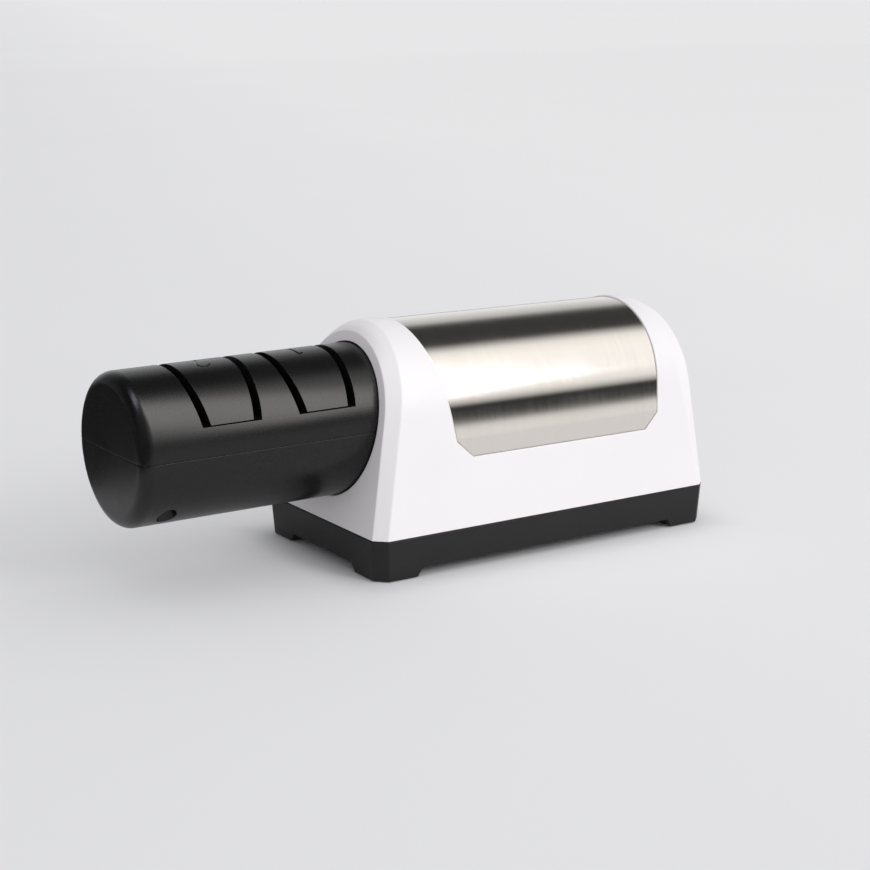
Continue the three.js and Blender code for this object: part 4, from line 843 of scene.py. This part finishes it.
def headUpper():
    wells, openings = [], []
    wall, reach, half = head["slotWall"], head["windowReach"], head["windowHalf"]
    low, high = head["windowZ"]
    for x in head["stages"]:
        well = prism(stageOutline(x, head["openingHalf"] + wall, head["floor"] - wall), -27.5, 27.5)
        trim = bar("trim", x - 26, x + 26, head["wellRadius"], head["sides"])
        wells.append(combine(well.obj("well", headPlace), overlap=[trim]))
        opening = prism(stageOutline(x, head["openingHalf"], head["floor"]), -31, 31)
        outline = [(x - reach, low), (x + reach, low), (x + reach, high), (x - reach, high)]
        window = prism(outline, -half, half)
        openings += [opening.obj("opening", headPlace), window.obj("window", headPlace)]
    return softEdges(combine(halfShell("headUpperShell", 1), wells, cut=openings), head["edge"], segments=3)


def headLower():
    posts, bores = [], []
    for x, y in [(x, side * head["postY"]) for x in head["postX"] for side in bothSides]:
        post = upright("post", x, y, -27, -1, head["postRadius"])
        trim = bar("trim", x - 12, x + 12, head["postEnd"], head["sides"])
        posts.append(combine(post, overlap=[trim]))
        bores += [upright("bore", x, y, -32, head["counterboreTop"], head["counterbore"]),
                  upright("pilot", x, y, -10, 4, head["pilot"], 24)]
    return softEdges(combine(halfShell("headLowerShell", -1), posts, cut=bores), head["edge"])


numerals = dict(height=12.5, width=4.6, stroke=0.75, depth=0.4, flag=1.8, step=1.6)


def numeralPath(text):
    # across and up, as read with the top towards -Y
    halfUp, halfWide = numerals["height"] / 2, numerals["width"] / 2
    if text == "1":
        corners = [(-halfWide * 0.8, halfUp - numerals["flag"]), (0, halfUp), (0, -halfUp)]
    else:
        bowl = halfUp - halfWide
        corners = [(-halfWide * cos(pi * k / 12), bowl + halfWide * sin(pi * k / 12)) for k in range(13)]
        for k in range(1, 9):
            a, b = (1 - k / 8) ** 2, (k / 8) ** 2
            middle = 1 - a - b
            corners.append((halfWide * (a + middle - b), bowl * a + (bowl - 3) * middle - halfUp * b))
        corners.append((halfWide, -halfUp))
    path = [Vector((*corners[0], 0))]
    for x, y in corners[1:]:  # enough points for the strokes to bend round the head
        last, here = path[-1], Vector((x, y, 0))
        count = ceil((here - last).length / numerals["step"])
        path += [last.lerp(here, k / count) for k in range(1, count + 1)]
    return path


def numeral(text, x):
    path, rings, around = numeralPath(text), [], head["radius"]
    top, bottom = around + 1.0, around - numerals["depth"]
    for i, here in enumerate(path):
        before = (here - path[i - 1]).normalized() if i else None
        after = (path[i + 1] - here).normalized() if i < len(path) - 1 else before
        before = before or after
        along = (before + after).normalized()
        aside = Vector((-along.y, along.x, 0)) * (numerals["stroke"] / 2 / max(0.5, along.dot(after)))
        corners = ((here + aside, bottom), (here - aside, bottom), (here - aside, top), (here + aside, top))
        rings.append([
            (x - p.x, -radius * sin(p.y / around), radius * cos(p.y / around)) for p, radius in corners])
    return lofted(rings).obj("numeral", headPlace)


def guideBlock(number, x):
    block = prism(stageOutline(x, head["guideHalf"], head["floor"] + 0.3), -30, 30)
    barrel = bar("barrel", x - 20, x + 20, head["radius"], head["sides"])
    sweep = bar("sweep", x - 20, x + 20, head["sweepRadius"], 96)
    obj = block.obj(f"guideBlock.{number}", headPlace)
    combine(obj, overlap=[barrel], cut=[sweep, numeral(str(number), x)])
    return softEdges(obj, head["blockEdge"], angle=40, segments=3)


finish(headUpper(), "head_plastic", "head", "head_upper_shell")
finish(headLower(), "head_plastic", "head", "head_lower_shell")
for number, x in enumerate(head["stages"], 1):
    finish(guideBlock(number, x), "head_plastic", "head", f"guide_block_{number}")
print("head built")

disc = dict(face=9.5, flatRadius=9.5, radius=17.2, cone=8.0, rim=2.2, hubRadius=6.5, hubInner=3.22, bore=4.3)
spring = dict(wire=0.45, radius=5.0, turns=2, stepsPerTurn=36, sides=12, gap=0.3, travel=1.3)


def grindingDisc(name, x, side):
    keys = ("face", "flatRadius", "radius", "hubRadius", "bore", "hubInner")
    face, flat, radius, hub, bore, hubInner = (disc[key] for key in keys)
    rimOuter = face - (radius - flat) * slope(disc["cone"])
    rimInner = rimOuter - disc["rim"]
    profile = [
        (hubInner, bore, 0), (hubInner, hub, 0.3), (rimInner, hub, 0.4), (rimInner, radius, 0.3),
        (rimOuter, radius, 0.3), (face, flat, 0.6), (face, bore, 0.2),
    ]
    profile = [(side * along, r, cut) for along, r, cut in profile]
    return turned(profile, 96, steps=3, ring=True).obj(name, headPlace @ at(x, 0, 0) @ alongX)


def halfSpring(name, x, side):
    # the half of the spring that one disc pushes on, from the middle of the stage outwards
    half = disc["hubInner"] - spring["gap"] - spring["wire"]
    count, rows = spring["turns"] * spring["stepsPerTurn"], []
    for i in range(count + 1):
        angle = side * 2 * pi * i / spring["stepsPerTurn"]
        along = side * half * i / count
        row = []
        for a in [2 * pi * k / spring["sides"] for k in range(spring["sides"])]:
            radius = spring["radius"] + spring["wire"] * cos(a)
            row.append((along + spring["wire"] * sin(a), radius * cos(angle), radius * sin(angle)))
        rows.append(row)
    return lofted(rows).obj(name, headPlace @ at(x, 0, 0))


for number, x in enumerate(head["stages"], 1):
    for where, side in (("inner", 1), ("outer", -1)):
        name = f"disc_{number}_{where}"
        finish(evenShading(grindingDisc(f"disc.{number}.{where}", x, side)), "disc_grit", name, name)
        half = evenShading(halfSpring(f"spring.{number}.{where}", x, side))
        finish(half, "motor_steel", "spindle", f"disc_spring_{number}")
        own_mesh(half)

coupling = dict(
    start=-7.05, pocketEnd=0.95, end=6.95, radius=8.85, pocket=5.85, bore=2.8, edge=0.3,
    hubStart=-12.65, hexStart=-7.35, hexEnd=0.65, hexRadius=5.5, hubRadius=5.8, spindleBore=3.3,
)


def hexBar(name, x0, x1, radius):
    corners = [(radius * cos(a), radius * sin(a)) for a in [radians(90 + 60 * k) for k in range(6)]]
    return lofted([[(x, y, z) for y, z in corners] for x in (x0, x1)]).obj(name, headPlace)


def couplings():
    c = coupling
    hub = rod(c["start"], c["end"], c["radius"], 64, 0.6, 0.6).obj("motorCoupling", headPlace @ alongX)
    combine(hub, cut=[hexBar("pocket", c["start"] - 2, c["pocketEnd"], c["pocket"]),
                      bar("bore", c["start"] - 2, c["end"] + 2, c["bore"], 40)])
    finish(softEdges(hub, c["edge"], segments=3), "base_plastic", "rotor", "motor_coupling")
    driver = rod(c["hubStart"], c["hexStart"], c["hubRadius"], 64, 0.3, 0.3).obj(
        "spindleCoupling", headPlace @ alongX)
    combine(driver, [hexBar("hex", c["hexStart"] - 1, c["hexEnd"], c["hexRadius"])],
            cut=[bar("bore", c["hubStart"] - 2, c["hexStart"] + 0.3, c["spindleBore"], 40)])
    finish(softEdges(driver, c["edge"], segments=3), "grey_plastic", "spindle", "spindle_coupling")


couplings()
print("discs and couplings built")

studio = dict(
    floorLeft=(0.83, 0.83, 0.84), floorRight=(0.92, 0.917, 0.915), floorHalf=14000,
    floorAcross=(0.975, -0.33, 0), floorTurn=(-0.25, 0.45),  # which way and where, in metres, the floor pales: painted shade, the floor's colour darker to the left where less light falls
    paintedFloorLight=0.22, paintedLightFade=14,  # painted light: the share of the floor's colour that glows for the camera, so it shows in full shadow too, but not under the base
    floorBounce=0.75,  # how much of its colour the floor throws back
    background=(0.80, 0.80, 0.80),
    fillFront=(1.43, 1.432, 1.45), fillBack=(0.44, 0.443, 0.46),  # for every matte surface
    fillAxis=(0.55, -0.6, -0.58),  # from the dim side to the bright one
    leftShade=0.18, shadeTurn=(-0.3, 0.15),  # how bright shiny surfaces see what lies to the left
    # what they see elsewhere, by angle round the X axis: 0 is towards -Y, 90 is up
    bands=[(-180, 0.78, 0.78, 0.79), (-1, 0.86, 0.86, 0.85), (4.0, 0.85, 0.84, 0.83), (6.0, 0.03, 0.03, 0.03),
           (12.2, 0.03, 0.03, 0.03), (17, 0.53, 0.525, 0.52), (22, 0.89, 0.88, 0.87), (31, 1.06, 1.05, 1.05),
           (58, 1.14, 1.12, 1.11), (68, 1.14, 1.12, 1.09), (79, 1.0, 0.99, 0.97), (87, 0.45, 0.44, 0.44),
           (93, 0.045, 0.043, 0.042), (127.5, 0.04, 0.04, 0.04), (134.5, 0.165, 0.165, 0.165),
           (139.5, 0.545, 0.545, 0.54), (150, 0.7, 0.71, 0.72), (166, 0.9, 0.91, 0.92)],
    peak=2.0,  # the bands are stored as shares of this, because a ramp's colours stop at 1
)


def worldLight():
    scene.world = world = bpy.data.worlds.new("studio")
    world.use_nodes = True
    tree = world.node_tree
    tree.nodes.clear()

    def backdrop(color, strength=1.0):
        return node(tree, "Background", {"Color": color, "Strength": strength}).outputs[0]

    def mixed(share, first, second):
        return node(tree, "MixShader", {0: share, 1: first, 2: second}).outputs[0]
    where = node(tree, "TexCoord").outputs["Generated"]
    parts = node(tree, "SeparateXYZ", {"Vector": where}).outputs
    angle = maths(tree, "ARCTAN2", parts["Z"], maths(tree, "MULTIPLY", parts["Y"], -1.0))
    bands = node(tree, "ValToRGB", {"Fac": ramp(tree, angle, -pi, pi, 0, 1)})
    stops, peak = bands.color_ramp.elements, studio["peak"]
    while len(stops) > 1:
        stops.remove(stops[-1])
    for i, (degrees, *color) in enumerate(studio["bands"]):
        place = (degrees + 180) / 360
        stop = stops.new(place) if i else stops[0]
        stop.position, stop.color = place, (*(c / peak for c in color), 1)
    strength = ramp(tree, parts["X"], *studio["shadeTurn"], peak * studio["leftShade"], peak)
    shiny = backdrop(bands.outputs["Color"], strength)
    across = vectorMaths(tree, "DOT_PRODUCT", {0: where, 1: studio["fillAxis"]}, "Value")
    matte = backdrop(tinted(tree, ramp(tree, across, -1, 1, 0, 1), studio["fillBack"], studio["fillFront"]))
    path = node(tree, "LightPath").outputs
    gloss = maths(tree, "MAXIMUM", path["Is Glossy Ray"], path["Is Transmission Ray"])
    seen = backdrop((*studio["background"], 1))
    node(tree, "OutputWorld", {"Surface": mixed(path["Is Camera Ray"], mixed(gloss, matte, shiny), seen)})


def sun(name, towards, spread, strength):
    # strength is the share of full white that it adds to a surface square to it
    data = bpy.data.lights.new(name, "SUN")
    data.energy, data.angle = strength * pi, radians(spread)
    obj = newObject(name, data)
    obj.rotation_euler = Vector(towards).to_track_quat("Z", "Y").to_euler()
    obj.visible_glossy = False  # what gleams is the world's work


def gleam(name, place, aim, width, height, radiance, color, turn=0):
    # a soft panel that is only seen in shiny surfaces
    data = bpy.data.lights.new(name, "AREA")
    data.shape, data.size, data.size_y, data.color = "RECTANGLE", width, height, color
    data.energy = radiance * pi * width * height
    obj = newObject(name, data)
    obj.location = place
    facing = (Vector(place) - Vector(aim)).to_track_quat("Z", "Y").to_matrix()
    obj.rotation_euler = (facing @ Matrix.Rotation(radians(turn), 3, "Z")).to_euler()
    obj.visible_diffuse = obj.visible_camera = False


def floorPlane():
    skin = Skin()
    steps = [studio["floorHalf"] * (k / 5 - 1) for k in range(11)]
    skin.grid([[(x, y, 0) for x in steps] for y in steps])
    obj = skin.obj("floor")
    material, tree, shader, where = surface("paleFloor")
    # painted shade: the floor's colour goes from the darker left to the paler right, with a little random
    # tone
    across = vectorMaths(tree, "DOT_PRODUCT", {0: where, 1: studio["floorAcross"]}, "Value")
    share = maths(tree, "ADD", ramp(tree, across, *studio["floorTurn"], 0, 1),
                  ramp(tree, noise(tree, where, 3, 2), 0.3, 0.7, -0.05, 0.05))
    color = tinted(tree, share, studio["floorLeft"], studio["floorRight"])
    # how far a point of the floor is from the base's footprint
    middle = ((h["frontX"] + h["rearX"]) / 2 * mm, 0, 0)
    reach = ((h["rearX"] - h["frontX"]) / 2 * mm, h["halfWidth"] * mm, 0)
    off = vectorMaths(tree, "ABSOLUTE", {0: vectorMaths(tree, "SUBTRACT", {0: where, 1: middle})})
    off = vectorMaths(tree, "SUBTRACT", {0: off, 1: reach})
    off = node(tree, "SeparateXYZ", {"Vector": off}).outputs
    clear = maths(tree, "MAXIMUM", off["X"], off["Y"])
    # painted light: the floor glows for the camera by this share, lifting the object's shadows on it, and its
    # lit colour is lowered by as much; the glow fades out under the base
    path = node(tree, "LightPath").outputs
    paintedGlow = maths(tree, "MULTIPLY", path["Is Camera Ray"],
                 ramp(tree, clear, 0, studio["paintedLightFade"] * mm, 0, studio["paintedFloorLight"]))
    dim = maths(tree, "SUBTRACT", ramp(tree, path["Is Diffuse Ray"], 0, 1, 1, studio["floorBounce"]), paintedGlow)
    setSockets(tree, shader, {
        "Base Color": vectorMaths(tree, "SCALE", {"Vector": color, "Scale": dim}),
        "Emission Color": color, "Emission Strength": paintedGlow, "Roughness": 0.9, "Specular IOR Level": 0.1,
    })
    obj.data.materials.append(material)


def darkSheet(name, x0, x1, y0, y1):
    # painted reflection: a black sheet on the floor that only shiny surfaces see, standing in for the dark
    # room beyond the table; it borrows the carbon finish for its black
    skin = Skin()
    skin.face([(x0, y0, 1), (x1, y0, 1), (x1, y1, 1), (x0, y1, 1)])
    obj = skin.obj(name)
    obj.data.materials.append(finishes["carbon"])
    obj.visible_camera = obj.visible_diffuse = obj.visible_shadow = False


lamps = dict(
    key=dict(towards=(0.45, -1.1, 0.6), spread=18, strength=0.22),
    headGleam=dict(place=(0.03, -0.19, 0.276), aim=(-0.065, -0.024, 0.067), width=0.15, height=0.34,
                   radiance=4.2, color=(1, 0.96, 0.94), turn=16),
    endGleam=dict(place=(-0.47, -0.06, 1.0), aim=(-0.118, 0, 0.07), width=0.3, height=0.5,
                  radiance=5, color=(0.86, 0.86, 1)),
)
worldLight()
floorPlane()
darkSheet("darkLeft", -3000, -270, -3000, 3000)
darkSheet("darkBehind", -270, 3000, 130, 3000)
sun("key", **lamps["key"])
for name in ("headGleam", "endGleam"):
    gleam(name, **lamps[name])
print("light ready")

# angles in degrees, places in metres, and the lens in pixels of the 870-pixel frame
view = dict(yaw=-32.699, pitch=13.565, roll=-0.28156, target=(0.01685, -0.00036, 0.040706),
            distance=0.78427, lensPixels=2031.03, framePixels=870, sensor=36)


def photoCamera():
    turn = Matrix.Identity(4)
    for axis, angle in zip("ZXZ", (view["yaw"], 90 - view["pitch"], view["roll"])):
        turn = turn @ Matrix.Rotation(radians(angle), 4, axis)
    data = bpy.data.cameras.new("photoCamera")
    data.sensor_width, data.clip_end = view["sensor"], 60
    data.lens = view["lensPixels"] / view["framePixels"] * view["sensor"]
    obj = newObject("photoCamera", data)
    back = Vector((0, 0, view["distance"]))
    obj.matrix_world = Matrix.Translation(Vector(view["target"]) + turn @ back) @ turn
    scene.camera = obj


photoCamera()
scene.view_settings.view_transform = "Standard"
